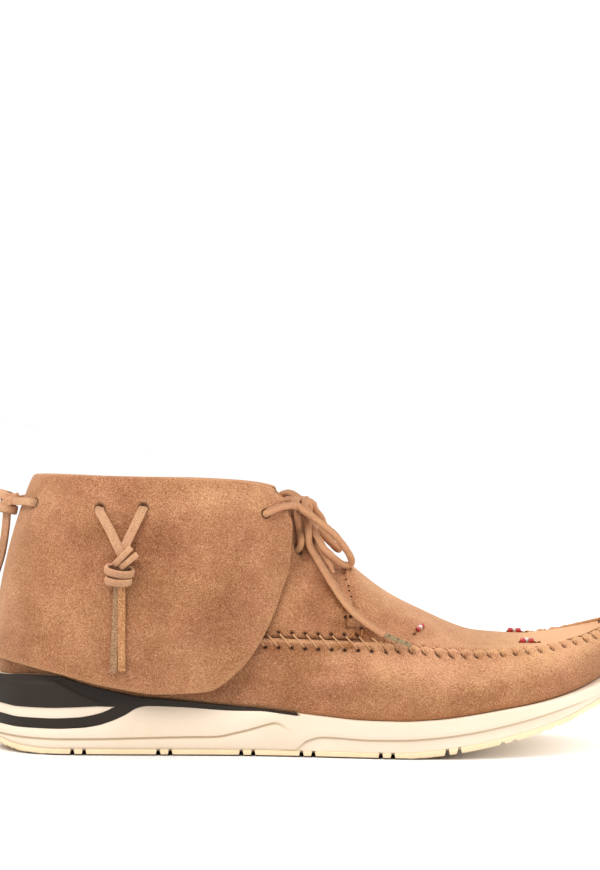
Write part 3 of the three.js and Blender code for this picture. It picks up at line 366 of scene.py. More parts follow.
def upper_point(u, v):
    """The upper's outer face: v runs 0 to 1 up the wall to the seam, and 1 to 2 to the top line."""
    u, v = np.broadcast_arrays(np.asarray(u, dtype=float), np.asarray(v, dtype=float))
    medial = u > LAST
    angle = section_angle(np.where(medial, TURN - u, u))
    bx, by = outline_point(medial, angle, FEATHER_INSET)
    ix, iy = outline_point(medial, angle, FEATHER_INSET + 5)
    inward = unit(vec(ix - bx, iy - by, 0))
    foot = vec(bx, by, edge_at(HALF_LENGTH * np.cos(angle)) + FEATHER_GAP)
    seam, top = seam_line(u), top_line(u)
    across = top - seam
    across[..., 2] = 0
    span = norm(across)[..., None]
    plug_in = np.where(span > 12, across / np.maximum(span, 1e-6), inward)
    wall = rib(foot, seam, inward, WALL_REACH, (ring["lean_base"](u), ring["lean_wall"](u)), v)
    plug = rib(seam, top, plug_in, PLUG_REACH, (ring["lean_plug"](u), ring["lean_top"](u)), v - 1)
    return np.where((v <= 1)[..., None], wall, plug)


FACE_STEP = 0.02


def face_normal(face, u, v):
    """The outward direction of a face given as a function of u and v."""
    along = face(u + FACE_STEP, v) - face(u - FACE_STEP, v)
    up = face(u, v + FACE_STEP) - face(u, v - FACE_STEP)
    return unit(np.cross(up, along))


# ---- the flap's tables
flap_rows = table("place hem_x hem_l hem_m hem_z", [
    [14.2, -13.2, -28, 27, 117.8],
    [14.4, -8.7, -30, 29.2, 107],
    [14.75, -9.2, -33.5, 33, 92],
    [15.15, -14.2, -38, 37.5, 75],
    [15.5, -22.3, -42, 41, 56],
    [15.8, -32.5, -45, 44, 41.6],
    [16.15, -48.8, -47, 46, 31.4],
    [16.6, -70, -48, 47, 30.5],
    [17.15, -95, -47, 46, 34],
    [17.8, -119, -42, 42, 39.8],
    [18.5, -138, -30, 30, 43.5],
    [19.2, -148.3, -15.5, 15.5, 44.8],
    [20, -151.5, 0, 0, 45.2],
])
LAST_FLAP_ROW = len(flap_rows["place"]) - 1
FLAP_TURN = 2 * LAST_FLAP_ROW
flap_place = SmoothCurve(np.arange(LAST_FLAP_ROW + 1), flap_rows["place"])
hem_x = ring_curve(flap_rows["hem_x"], flap_rows["hem_x"], closed=False)
hem_y = ring_curve(flap_rows["hem_l"], flap_rows["hem_m"], closed=False)
hem_z = ring_curve(flap_rows["hem_z"], flap_rows["hem_z"], closed=False)
FLAP_LEAN_TOP = 16


def flap_frame(r):
    """The collar's top line under the flap's row r, and the way out from it. Rows run on past the heel."""
    r = np.asarray(r, dtype=float)
    lateral = r <= LAST_FLAP_ROW
    place = flap_place(np.where(lateral, r, FLAP_TURN - r))
    u = np.where(lateral, place, TURN - place)
    step = 0.05
    along = top_line(u + step) - top_line(u - step)
    along[..., 2] = 0
    along = unit(along)
    return top_line(u), vec(-along[..., 1], along[..., 0], 0)


def flap_point(r, v):
    """The flap's outer face: v runs 0 at the hem to 1 at the fold's outer shoulder."""
    r, v = np.broadcast_arrays(np.asarray(r, dtype=float), np.asarray(v, dtype=float))
    point, outward = flap_frame(r)
    end = vec(hem_x(r), hem_y(r), hem_z(r))
    shoulder = point + outward * (FLAP_GAP + FLAP_WALL + 0.4) + unit(end - point) * FOLD_DROP
    hang = unit(end - shoulder)
    reach = 0.36 * norm(end - shoulder)[..., None]
    lean = outward * math.sin(math.radians(FLAP_LEAN_TOP))
    a = shoulder + hang * reach + lean * reach * 0.55
    b = end - hang * reach + lean * reach * 0.5
    return bezier(end, b, a, shoulder, v)


# ---- places on a face
SIDE_VIEW = (0, 2)
TOP_VIEW = (0, 1)
SEARCH_ROUNDS = 9
SEARCH_PLACES = 21
SEARCH_SHRINK = 0.3


def find_on(face, first, second, axes, target):
    """The two coordinates of a face where it passes through a target seen from the side or from above."""
    u_low, u_high = first
    v_low, v_high = second
    reach_u, reach_v = (u_high - u_low) / 2, (v_high - v_low) / 2
    u, v = (u_low + u_high) / 2, (v_low + v_high) / 2
    for _ in range(SEARCH_ROUNDS):
        us = np.clip(np.linspace(u - reach_u, u + reach_u, SEARCH_PLACES), u_low, u_high)
        vs = np.clip(np.linspace(v - reach_v, v + reach_v, SEARCH_PLACES), v_low, v_high)
        grid_u, grid_v = np.meshgrid(us, vs, indexing="ij")
        points = face(grid_u, grid_v)
        miss = np.hypot(points[..., axes[0]] - target[0], points[..., axes[1]] - target[1])
        i, j = np.unravel_index(np.argmin(miss), miss.shape)
        u, v = us[i], vs[j]
        reach_u *= SEARCH_SHRINK
        reach_v *= SEARCH_SHRINK
    return u, v


def seat_on(face, first, second, axes, target, lift):
    """A place a little over a face, found as in find_on, and the face's outward direction there."""
    u, v = (np.float64(a) for a in find_on(face, first, second, axes, target))
    normal = face_normal(face, u, v)
    return face(u, v) + normal * lift, normal


def side_places(side, low, high, turn=TURN):
    """A stretch of a ring on the lateral side (-1), or the same stretch on the medial side (1)."""
    return (low, high) if side < 0 else (turn - high, turn - low)


def on_flap(side, x, z, lift=0.0):
    """A place on the flap in side view, and the way out there."""
    rows = side_places(side, 0.05, LAST_FLAP_ROW, FLAP_TURN)
    return seat_on(flap_point, rows, (0.02, 0.98), SIDE_VIEW, (x, z), lift)


def on_quarter(side, x, z, lift=0.0):
    """A place on the quarter in side view, and the way out there."""
    places = side_places(side, QUARTER_START, 15.0)
    return seat_on(upper_point, places, (1.05, 1.95), SIDE_VIEW, (x, z), lift)


def on_plug(side, x, y, lift=0.0):
    """A place on the plug seen from above, and the way out there."""
    return seat_on(upper_point, side_places(side, 1.0, CROWN_END), (1.06, 1.95), TOP_VIEW, (x, y), lift)


# ---- holes
LACE_HOLE = 4.6
STRAP_HOLE = 4.4
FLAP_LACE_HOLE = (-20.6, 113)
QUARTER_EYELET = (-5.6, 95.4)
SIDE_TASSEL_HOLES = [(-98, 115.7), (-77.6, 116.1)]
HEEL_TASSEL_HOLE = (-129.5, 117.3)


# ---- meshes
def grid_faces(rows, columns, closed_rows=False, closed_columns=False):
    """Quads of a grid of points. Rows run along the form and a row's points run up, so faces point out."""
    r = np.arange(rows if closed_rows else rows - 1)
    c = np.arange(columns if closed_columns else columns - 1)
    r, c = (a.ravel() for a in np.meshgrid(r, c, indexing="ij"))
    r2 = (r + 1) % rows
    c2 = (c + 1) % columns
    return np.stack([r * columns + c, r * columns + c2, r2 * columns + c2, r2 * columns + c], axis=-1)


def surface(grid, closed_rows=False, closed_columns=False):
    """The points and faces of a grid."""
    return grid.reshape(-1, 3), grid_faces(*grid.shape[:2], closed_rows, closed_columns)


def weld(points, faces, values):
    """Points that coincide become one, and faces that vanish are dropped."""
    _, first, index = np.unique(np.round(points, 3), axis=0, return_index=True, return_inverse=True)
    faces = index.ravel()[faces]
    kept = (faces[:, 0] != faces[:, 2]) & (faces[:, 1] != faces[:, 3])
    same_side = (faces[:, 0] == faces[:, 1]) & (faces[:, 2] == faces[:, 3])
    same_end = (faces[:, 1] == faces[:, 2]) & (faces[:, 3] == faces[:, 0])
    faces = faces[kept & ~same_side & ~same_end]
    return points[first], faces, {name: value[first] for name, value in values.items()}


def point_normals(points, faces):
    """The outward direction at each point, from the faces round it."""
    cross = np.cross(points[faces[:, 2]] - points[faces[:, 0]], points[faces[:, 3]] - points[faces[:, 1]])
    normals = np.zeros_like(points)
    for corner in range(4):
        np.add.at(normals, faces[:, corner], cross)
    return unit(normals)


def punch(points, faces, centres, radius):
    """Round holes: faces inside are dropped, and the points left round them move onto the circle."""
    for centre in centres:
        inside = norm(points[faces].mean(axis=1) - centre) < radius
        edge = np.intersect1d(faces[inside], faces[~inside])
        away = points[edge] - centre
        points[edge] = centre + away * (radius / np.linalg.norm(away, axis=1, keepdims=True))
        faces = faces[~inside]
    return points, faces


RIM_DEPTHS = (0.18, 0.5, 0.82)
RIM_RAW = 0.6


def thick(points, faces, wall, values, roundness=0.42):
    """A sheet given a wall on its inner side, with a rounded rim along its open edges."""
    points, faces, values = weld(points, faces, values)
    normals = point_normals(points, faces)
    count = len(points)
    starts = faces.ravel()
    ends = np.roll(faces, -1, axis=1).ravel()
    edge = (starts != ends) & ~np.isin(starts * count + ends, ends * count + starts)
    starts, ends = starts[edge], ends[edge]
    out = np.zeros_like(points)
    sideways = np.cross(points[ends] - points[starts], normals[starts] + normals[ends])
    np.add.at(out, starts, sideways)
    np.add.at(out, ends, sideways)
    rim = np.unique(np.concatenate([starts, ends]))
    out = unit(out[rim])
    place = np.full(count, -1)
    place[rim] = np.arange(len(rim))
    layers = [points]
    for depth in RIM_DEPTHS:
        swell = roundness * wall * math.sin(math.pi * depth) ** 0.5
        layers.append(points[rim] - normals[rim] * wall * depth + out * swell)
    layers.append(points - normals * wall)
    inner = count + len(RIM_DEPTHS) * len(rim)
    bands = [(starts, ends)]
    for base in range(count, inner, len(rim)):
        bands.append((base + place[starts], base + place[ends]))
    bands.append((inner + starts, inner + ends))
    all_faces = [faces]
    for (low_start, low_end), (high_start, high_end) in zip(bands, bands[1:]):
        all_faces.append(np.stack([low_end, low_start, high_start, high_end], axis=-1))
    all_faces.append(faces[:, ::-1] + inner)
    values = {
        name: np.concatenate([value, np.tile(value[rim], len(RIM_DEPTHS)), np.zeros(count)])
        for name, value in values.items()
    }
    raw = np.zeros(inner + count)
    raw[rim] = RIM_RAW
    raw[count:inner] = 1
    return np.concatenate(layers), np.concatenate(all_faces), {**values, "raw": raw}


def make_piece(name, points, faces, material, slot, node=None, values=None, crease=None, kinds=None):
    """A mesh piece from points in millimetres. It rides on the boot and replaces a CAD node if one
    is named; its slot argument is not used. Kinds pick each face's material out of several."""
    mesh = bpy.data.meshes.new(name)
    corners = []
    for face in np.asarray(faces).tolist():
        corners.append([a for i, a in enumerate(face) if a != face[i - 1]])
    mesh.from_pydata((np.asarray(points) * MM).tolist(), [], corners)
    for key, value in {"dark": 0.0, "raw": 0.0, **(values or {})}.items():
        layer = mesh.attributes.new(key, "FLOAT", "POINT")
        layer.data.foreach_set("value", np.full(len(points), value, dtype=np.float32))
    for each in material if isinstance(material, list) else [material]:
        mesh.materials.append(each)
    if kinds is not None:
        mesh.polygons.foreach_set("material_index", np.asarray(kinds, dtype=np.int32))
    mesh.polygons.foreach_set("use_smooth", [True] * len(mesh.polygons))
    if crease is not None:
        mesh.set_sharp_from_angle(angle=math.radians(crease))
    mesh.update()
    piece = bpy.data.objects.new(name, mesh)
    bpy.context.scene.collection.objects.link(piece)
    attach(piece, "root")
    if node:
        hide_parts(node)
    return piece


def joined_parts(parts):
    """Several point and face arrays as one."""
    points, faces, start = [], [], 0
    for part_points, part_faces in parts:
        points.append(part_points)
        faces.append(part_faces + start)
        start += len(part_points)
    return np.concatenate(points), np.concatenate(faces)


def line_frames(line, up):
    """Along, across and face directions at each point of a line, kept from twisting."""
    along = unit(np.gradient(line, axis=0))
    across = np.zeros_like(line)
    side = np.cross(along[0], up)
    for i, tangent in enumerate(along):
        side = side - tangent * np.dot(side, tangent)
        side = side / max(np.linalg.norm(side), 1e-9)
        across[i] = side
    return along, across, np.cross(across, along)


def swept(line, section, up=(0.0, 0.0, 1.0), scale=None, fixed_across=None):
    """A closed section (across, face) swept along a line, with rounded ends: points and faces."""
    line = np.asarray(line, dtype=float)
    along, across, face = line_frames(line, np.array(up))
    if fixed_across is not None:
        across = unit(fixed_across - along * np.sum(fixed_across * along, axis=1, keepdims=True))
        face = np.cross(across, along)
    size = np.ones(len(line)) if scale is None else np.asarray(scale)
    reach = np.max(np.abs(section[:, 1])) * 0.8
    last = len(line) - 1
    cap = [(1 - turn, math.sin(math.pi / 2 * turn)) for turn in (0.0, 0.45, 0.8)]
    rings = [(line[0] - along[0] * reach * out, 0, grow) for out, grow in cap]
    rings += [(centre, i, 1.0) for i, centre in enumerate(line)]
    rings += [(line[-1] + along[-1] * reach * out, last, grow) for out, grow in cap[::-1]]
    points = []
    for centre, i, grow in rings:
        spread = section * (size[i] * max(grow, 1e-3))
        points.append(centre + across[i] * spread[:, :1] + face[i] * spread[:, 1:])
    return surface(np.stack(points), closed_columns=True)


def turns(count):
    """Angles evenly spaced round a circle."""
    return 2 * math.pi * np.arange(count) / count


def round_section(diameter, sides):
    turn = turns(sides)
    return np.stack([np.cos(turn), np.sin(turn)], axis=-1) * diameter / 2


def strap_section(width, thickness):
    """A flat strap with softly rounded edges."""
    turn = 2 * math.pi * (np.arange(20) + 0.5) / 20
    wide = np.sign(np.cos(turn)) * np.abs(np.cos(turn)) ** 0.45 * width / 2
    deep = np.sign(np.sin(turn)) * np.abs(np.sin(turn)) ** 0.6 * thickness / 2
    return np.stack([wide, deep], axis=-1)


def ball(centre, radii, around=14, up=10):
    """A ball with its own radius along each axis: points and faces."""
    turn, rise = np.meshgrid(turns(around), math.pi * np.arange(up + 1) / up, indexing="ij")
    points = vec(np.cos(turn) * np.sin(rise), np.sin(turn) * np.sin(rise), -np.cos(rise)) * np.array(radii)
    return (points + np.array(centre)).reshape(-1, 3), grid_faces(around, up + 1, closed_rows=True)[:, ::-1]


# ---- materials
def linear(red, green, blue):
    """A display colour, 0 to 255, as the shader's linear colour."""
    def one(c):
        c = c / 255
        return c / 12.92 if c <= 0.04045 else ((c + 0.055) / 1.055) ** 2.4
    return (one(red), one(green), one(blue), 1.0)


class Nodes:
    """A node tree and short ways to add to it."""

    def __init__(self, tree):
        self.nodes = tree.nodes
        self.links = tree.links

    def fill(self, node, inputs):
        """Sets a node's inputs by name or number, each to a constant or to another node's output."""
        for key, value in inputs.items():
            if isinstance(value, bpy.types.NodeSocket):
                self.links.new(value, node.inputs[key])
            else:
                node.inputs[key].default_value = value

    def add(self, kind, inputs=(), **settings):
        node = self.nodes.new("ShaderNode" + kind)
        for key, value in settings.items():
            setattr(node, key, value)
        self.fill(node, dict(inputs))
        return node


class Shader(Nodes):
    """A material with its Principled shader and short ways to add nodes."""

    def __init__(self, name):
        self.material = bpy.data.materials.new(name)
        self.material.use_nodes = True
        super().__init__(self.material.node_tree)
        self.main = self.nodes["Principled BSDF"]
        self.place = self.add("TexCoord").outputs["Object"]

    def set(self, **inputs):
        """Sets the main shader's inputs. A name's spaces are written as underscores."""
        self.fill(self.main, {name.replace("_", " "): value for name, value in inputs.items()})

    def noise(self, size_mm, detail=2.0, rough=0.5, stretch=(1, 1, 1)):
        """Noise whose features are about size_mm across, 0 to 1."""
        ratio = [1000.0 / size_mm * s for s in stretch]
        scale = self.add("VectorMath", {0: self.place, 1: ratio}, operation="MULTIPLY")
        inputs = {"Scale": 1.0, "Detail": detail, "Roughness": rough, "Vector": scale.outputs[0]}
        return self.add("TexNoise", inputs).outputs["Fac"]

    def attribute(self, name):
        return self.add("Attribute", attribute_name=name).outputs["Fac"]

    def facing(self):
        """0 where a face is seen straight on, 1 along its rim."""
        return self.add("LayerWeight").outputs["Facing"]

    def math(self, operation, a, b):
        return self.add("Math", {0: a, 1: b}, operation=operation).outputs[0]

    def weighted(self, *pairs):
        """The sum of (value, weight) pairs."""
        parts = [self.math("MULTIPLY", value, weight) for value, weight in pairs]
        total = parts[0]
        for part in parts[1:]:
            total = self.math("ADD", total, part)
        return total

    def span(self, value, low, high):
        """0 where the value is low, 1 where it is high."""
        return self.add("MapRange", {"Value": value, "From Min": low, "From Max": high}).outputs["Result"]

    def ramp(self, value, *stops):
        """A colour for each value, from stops of a value and a colour."""
        node = self.add("ValToRGB", {"Fac": value})
        elements = node.color_ramp.elements
        while len(elements) < len(stops):
            elements.new(0.5)
        for element, (at, colour) in zip(elements, stops):
            element.position = at
            element.color = colour
        return node.outputs["Color"]

    def mix(self, factor, first, second, blend="MIX"):
        inputs = {"Factor": factor, 6: first, 7: second}
        return self.add("Mix", inputs, data_type="RGBA", blend_type=blend).outputs[2]

    def tint(self, value, shade, colour, dark=None, low=0.3, high=0.7):
        """The base colour: from shade to colour as the value rises, and darker where a piece's points are
        marked dark, which on the sole is painted shade.
        """
        base = self.ramp(value, (low, linear(*shade)), (high, linear(*colour)))
        if dark:
            base = self.mix(self.attribute("dark"), base, linear(*dark))
        self.set(Base_Color=base)

    def rough(self, value, low, high):
        inputs = {"Value": value, "To Min": low, "To Max": high}
        self.set(Roughness=self.add("MapRange", inputs).outputs["Result"])

    def bump(self, height, depth_mm, strength=1.0):
        inputs = {"Distance": depth_mm * MM, "Strength": strength, "Height": height}
        self.set(Normal=self.add("Bump", inputs).outputs["Normal"])


def suede(name, deep, middle, light, mottle=1.0, nap=1.0, rim=0.5):
    """Brushed suede: cloudy light and dark, a fine speckle of short fibres, pale raw edges, painted shade in
    slits, holes, seams and under strands where a piece's points are dark, and a painted sheen along its rims.
    """
    s = Shader(name)
    clouds = s.noise(34)
    patches = s.noise(13, rough=0.55)
    smears = s.noise(3.4, rough=0.6, stretch=(0.6, 1, 1.3))
    grain = s.noise(1.0, detail=1, rough=0.6)
    fibres = s.noise(0.5, detail=1, rough=0.7)
    weights = [(clouds, 0.42 * mottle), (patches, 0.3 * mottle), (smears, 0.16 * mottle)]
    # The tone attribute carries the tables' patches, painted light and shade among them.
    weights += [(grain, 0.32 * nap), (fibres, 0.86 * nap), (s.attribute("tone"), 0.42)]
    middle_value = (0.88 * mottle + 1.18 * nap) / 2
    tone = s.span(s.weighted(*weights), middle_value - 0.35, middle_value + 0.35)
    base = s.ramp(tone, (0.0, linear(*deep)), (0.5, linear(*middle)), (1.0, linear(*light)))
    tints = s.ramp(s.noise(19, detail=1), (0.36, (1.0, 1.015, 0.97, 1.0)), (0.64, (1.0, 0.975, 1.0, 1.0)))
    base = s.mix(1.0, base, tints, blend="MULTIPLY")
    flecks = s.math("MULTIPLY", s.span(s.noise(0.55, detail=0), 0.58, 0.76), 0.2 * nap)
    # Painted sheen: the colour lightens towards a face's rims as it turns away from view.
    painted_rim_sheen = s.math("MULTIPLY", s.math("POWER", s.facing(), 3.0), rim)
    raw = s.math("MULTIPLY", s.attribute("raw"), 0.6)
    layers = [
        (flecks, (240, 198, 158)), (painted_rim_sheen, (232, 186, 146)), (raw, (198, 148, 106)),
        # painted shade where a piece's points are dark
        (s.attribute("dark"), (58, 30, 16)),
    ]
    for amount, colour in layers:
        base = s.mix(amount, base, linear(*colour))
    s.bump(s.weighted((fibres, 0.8), (grain, 0.8), (smears, 0.4), (patches, 0.6)), 0.7 * nap, 0.85)
    s.set(Base_Color=base, Roughness=0.95, Specular_IOR_Level=0.1)
    s.set(Sheen_Weight=0.1, Sheen_Roughness=0.5, Sheen_Tint=linear(255, 226, 196))
    return s.material


def foam(name, colour, shade):
    """Moulded midsole foam: smooth and warm, painted a little darker and duller in the steps as their shade.
    """
    s = Shader(name)
    cloud = s.noise(26)
    pores = s.noise(0.9)
    s.tint(s.weighted((cloud, 0.7), (pores, 0.3)), shade, colour, (176, 146, 104), high=0.62)
    s.rough(pores, 0.42, 0.6)
    s.bump(s.weighted((pores, 1.0), (cloud, 0.6)), 0.06, 0.4)
    s.set(Specular_IOR_Level=0.4)
    return s.material


def rubber(name, colour, shade):
    """Tread rubber: matt, a little dusty, with painted shade in its grooves and a painted contact shadow
    along its bottom edge.
    """
    s = Shader(name)
    dust = s.noise(7, detail=4, rough=0.65)
    s.tint(dust, shade, colour, (52, 34, 20))
    s.rough(dust, 0.6, 0.8)
    s.bump(s.weighted((s.noise(0.7), 1.0), (dust, 0.5)), 0.1, 0.5)
    return s.material


def plastic(name, colour, shade):
    """Satin moulded plastic with a fine spark-eroded grain."""
    s = Shader(name)
    grain = s.noise(0.5)
    s.tint(s.noise(18), shade, colour)
    s.rough(grain, 0.46, 0.6)
    s.bump(grain, 0.04, 0.35)
    s.set(Specular_IOR_Level=0.3)
    return s.material


def woven(name, colour, shade):
    """A flat woven tape: fine ribs across and along it."""
    s = Shader(name)
    ribs = s.noise(0.5, detail=1)
    s.tint(ribs, shade, colour, (52, 44, 24), 0.35, 0.65)
    s.bump(ribs, 0.2, 0.6)
    s.set(Roughness=0.8)
    return s.material


def glass_bead(name, colour):
    """Opaque coloured glass, glossy."""
    s = Shader(name)
    s.tint(s.noise(1.2), [c * 0.78 for c in colour], colour)
    s.set(Roughness=0.12, Coat_Weight=0.6, Coat_Roughness=0.06)
    return s.material


SUEDE = suede("suede", (122, 72, 43), (166, 113, 79), (212, 160, 120))
LACE_SUEDE = suede("lace_suede", (160, 108, 76), (198, 146, 108), (224, 176, 138), 0.5, 0.4, 0.15)
TASSEL_SUEDE = suede("tassel_suede", (158, 110, 80), (200, 152, 116), (230, 188, 152), 0.5, 0.7, 0.2)
TASSEL_END_SUEDE = suede("tassel_end_suede", (122, 76, 44), (190, 134, 90), (230, 182, 134), 0.5, 1.1)
GREY_END_SUEDE = suede("grey_end_suede", (98, 72, 52), (164, 126, 94), (214, 176, 136), 0.5, 1.1)
FOOTBED_SUEDE = suede("footbed_suede", (120, 78, 50), (152, 106, 72), (180, 132, 94))
MIDSOLE_FOAM = foam("midsole_foam", (236, 218, 196), (231, 211, 186))
TREAD_RUBBER = rubber("tread_rubber", (250, 224, 186), (242, 214, 174))
CRADLE_PLASTIC = plastic("cradle_plastic", (43, 33, 24), (34, 26, 19))
AGLET_CLOTH = woven("aglet_cloth", (158, 136, 100), (126, 104, 72))
RED_GLASS = glass_bead("red_glass", (196, 30, 34))
WHITE_GLASS = glass_bead("white_glass", (236, 226, 216))
THREAD = suede("waxed_thread", (166, 114, 74), (200, 152, 110), (224, 182, 142), 0.4, 0.5)
DARK_THREAD = suede("dark_thread", (80, 46, 26), (104, 64, 38), (128, 84, 52), 0.4, 0.5)
FRAYED_THREAD = suede("frayed_thread", (134, 86, 44), (170, 118, 68), (200, 150, 98), 0.4, 0.5)


# ---- camera, light and floor
def look_from(thing, place, target):
    """Puts a camera or a lamp at a place and turns it to look at a target, both in metres."""
    thing.location = place
    away = mathutils.Vector(place) - mathutils.Vector(target)
    thing.rotation_euler = away.to_track_quat("Z", "Y").to_euler()
    bpy.context.scene.collection.objects.link(thing)


def make_camera():
    """The view from the lateral side, a little above the boot, through a long lens."""
    camera = bpy.data.objects.new("camera", bpy.data.cameras.new("camera"))
    seen_width = 0.279
    distance = 1.5
    camera.data.sensor_fit = "HORIZONTAL"
    camera.data.sensor_width = 36.0
    camera.data.lens = camera.data.sensor_width * distance / seen_width
    camera.data.clip_start = 0.05
    look_from(camera, (-0.005, -1.54, 0.194), (-0.00465, -0.04, 0.15))
    bpy.context.scene.camera = camera


def area_light(name, place, size, power, tint=(1.0, 1.0, 1.0)):
    light = bpy.data.lights.new(name, "AREA")
    light.shape = "DISK"
    light.size = size
    light.energy = power
    light.color = tint
    look_from(bpy.data.objects.new(name, light), place, (0.0, 0.0, 0.05))


ZENITH = 1.9
HORIZON = 0.62


def make_surround(scene):
    """A soft box of light, brightest overhead. The camera sees it as plain white paper."""
    world = bpy.data.worlds.new("surround")
    world.use_nodes = True
    tree = Nodes(world.node_tree)
    light = tree.nodes["Background"]
    height = tree.add("SeparateXYZ", {0: tree.add("TexCoord").outputs["Generated"]}).outputs["Z"]
    square = tree.add("Math", {0: height, 1: 2.0}, operation="POWER", use_clamp=True).outputs[0]
    strength = tree.add("MapRange", {"Value": square, "To Min": HORIZON, "To Max": ZENITH})
    tree.fill(light, {"Color": (1, 1, 1, 1), "Strength": strength.outputs["Result"]})
    paper = tree.add("Background", {"Color": (1, 1, 1, 1)})
    seen = tree.add("LightPath").outputs["Is Camera Ray"]
    either = tree.add("MixShader", {0: seen, 1: light.outputs[0], 2: paper.outputs[0]})
    tree.fill(tree.nodes["World Output"], {"Surface": either.outputs[0]})
    scene.world = world


def make_stage():
    """A pale flat floor with a painted glow towards the toe, a white surround and large soft lamps."""
    scene = bpy.context.scene
    scene.view_settings.view_transform = "Standard"
    make_surround(scene)
    area_light("key_above", (-0.7, -0.9, 1.3), 0.7, 13, (1.0, 0.97, 0.93))
    area_light("rim_toe", (1.2, -0.3, 0.7), 0.6, 2.5)
    mesh = bpy.data.meshes.new("floor")
    corners = [(-6, -6, 0), (6, -6, 0), (6, 6, 0), (-6, 6, 0)]
    mesh.from_pydata(corners, [], [(0, 1, 2, 3)])
    floor = bpy.data.objects.new("floor", mesh)
    scene.collection.objects.link(floor)
    s = Shader("floor_paper")
    along = s.add("SeparateXYZ", {0: s.place}).outputs["X"]
    # Painted light: the floor glows more towards the toe, lightening the shadow under it.
    painted_floor_light = s.ramp(s.span(along, 0.06, 0.15), (0.0, (0, 0, 0, 1)), (1.0, (0.42, 0.42, 0.42, 1)))
    grey = s.ramp(s.noise(60), (0.3, linear(228, 228, 228)), (0.7, linear(232, 232, 232)))
    s.set(Base_Color=grey, Roughness=1.0, Specular_IOR_Level=0.0, Emission_Color=painted_floor_light, Emission_Strength=1.0)
    mesh.materials.append(s.material)


make_camera()
make_stage()

# ---- the lace's free cords
lace_routes = {
    "lace_loop_lateral": [
        [-1.6, -8.3, 118.5], [-2.4, -12.2, 117.2], [-2.0, -16.6, 114.6], [1.2, -20.2, 110.9],
        [4.4, -21.4, 108.6], [7.7, -21.4, 105.9], [10.9, -21.0, 103.2], [14.2, -20.0, 99.3],
        [16.9, -18.6, 95.6], [19.1, -17.0, 91.9], [19.8, -15.4, 89.0], [18.6, -14.6, 87.6],
        [16.2, -16.4, 87.8], [13.2, -19.4, 89.3], [10.0, -24.8, 92.8], [6.4, -24.7, 96.5],
        [4.2, -21.8, 100.4], [1.6, -15.2, 104.6], [-1.2, -9.0, 110.0],
    ],
    "lace_loop_medial": [
        [1.7, 2.8, 115.9], [2.2, 4.0, 113.8], [5.7, 8.2, 108.5], [7.1, 9.4, 104.8], [8.3, 9.8, 101.3],
        [10.1, 9.4, 97.6], [12.3, 7.6, 94.6], [13.9, 5.2, 93.8], [12.7, 3.0, 95.2], [9.7, 2.0, 97.7],
        [7.1, 1.4, 100.5], [3.7, 1.0, 104.4], [0.8, 0.8, 108.9], [-0.7, 0.5, 113.0],
    ],
    "lace_end_long": [
        [-2.6, -9.8, 113.8], [-1.2, -15.2, 109.4], [-0.6, -19.4, 103.6], [-0.2, -21.2, 97.8],
        [3.2, -24.8, 91.8], [6.6, -28.6, 86.2], [9.8, -32.6, 81.2], [13.4, -36.4, 75.8],
        [17.0, -39.8, 71.0], [21.0, -42.2, 67.0], [25.6, -44.2, 63.4], [30.4, -45.6, 60.2],
        [34.2, -46.6, 57.9],
    ],
    "lace_end_short": [
        [-1.0, -4.6, 111.4], [2.0, -7.2, 106.9], [1.8, -12.6, 102.6], [3.2, -16.6, 98.6],
        [5.4, -20.2, 94.9], [8.6, -23.3, 90.2], [10.8, -27.4, 85.5],
    ],
}
aglet_route = [[34.5, -46.65, 57.7], [40.4, -47.5, 55.1], [46.6, -47.9, 52.6]]
AGLET_WIDTH = 2.1
AGLET_THICKNESS = 1.7
AGLET_DOTS = (2.6, 6.8, 11.2)
LACE_SECTION = round_section(LACE_DIAMETER, 14)


def line_length(line):
    return float(np.sum(norm(np.diff(line, axis=0))))


def underside_painted_shade(points, faces, depth=0.42):
    """Painted shade on the lower side of a strand, darker the more it faces down."""
    return depth * smoothstep(0.0, 0.95, -point_normals(points, faces)[:, 2])


def make_aglet():
    """The tape round the tip of the long end, with three dark dots and dark rims."""
    line = even_line(aglet_route, 0.5)
    points, faces = swept(line, strap_section(AGLET_WIDTH, AGLET_THICKNESS), up=(0, 1, 0))
    along = (points - line[0]) @ unit(line[-1] - line[0])
    dots = sum(hump(along - place, 0.45) for place in AGLET_DOTS)
    rim = falling(0.15, 0.5, np.minimum(along + 0.8, line_length(line) + 0.8 - along))
    upper = points[:, 2] > np.interp(along, [0, 6.5, 13.4], line[:, 2][[0, len(line) // 2, -1]]) + 0.35
    values = {"dark": np.clip(0.8 * dots * upper + 0.8 * rim, 0, 1)}
    return make_piece("aglet_tape", points, faces, AGLET_CLOTH, "aglet_cloth", "aglet", values)


def make_lace_cords():
    """The lace's four free cords. Their thickness wavers a little, and the short end tapers."""
    aglet = make_aglet()
    for name, route in lace_routes.items():
        line = even_line(route, 0.8)
        turn = np.linspace(0, line_length(line), len(line))
        scale = 1 + 0.035 * np.sin(turn * 0.9) + 0.02 * np.sin(turn * 2.3 + 1)
        if name == "lace_end_short":
            scale = scale * (1 - 0.55 * smoothstep(0.8, 1.0, turn / turn[-1]))
        points, faces = swept(line, LACE_SECTION, scale=scale)
        # Painted shade on each cord's lower side.
        values = {"dark": underside_painted_shade(points, faces)}
        piece = make_piece(f"{name}_cord", points, faces, LACE_SUEDE, "lace_suede", name, values)


make_lace_cords()

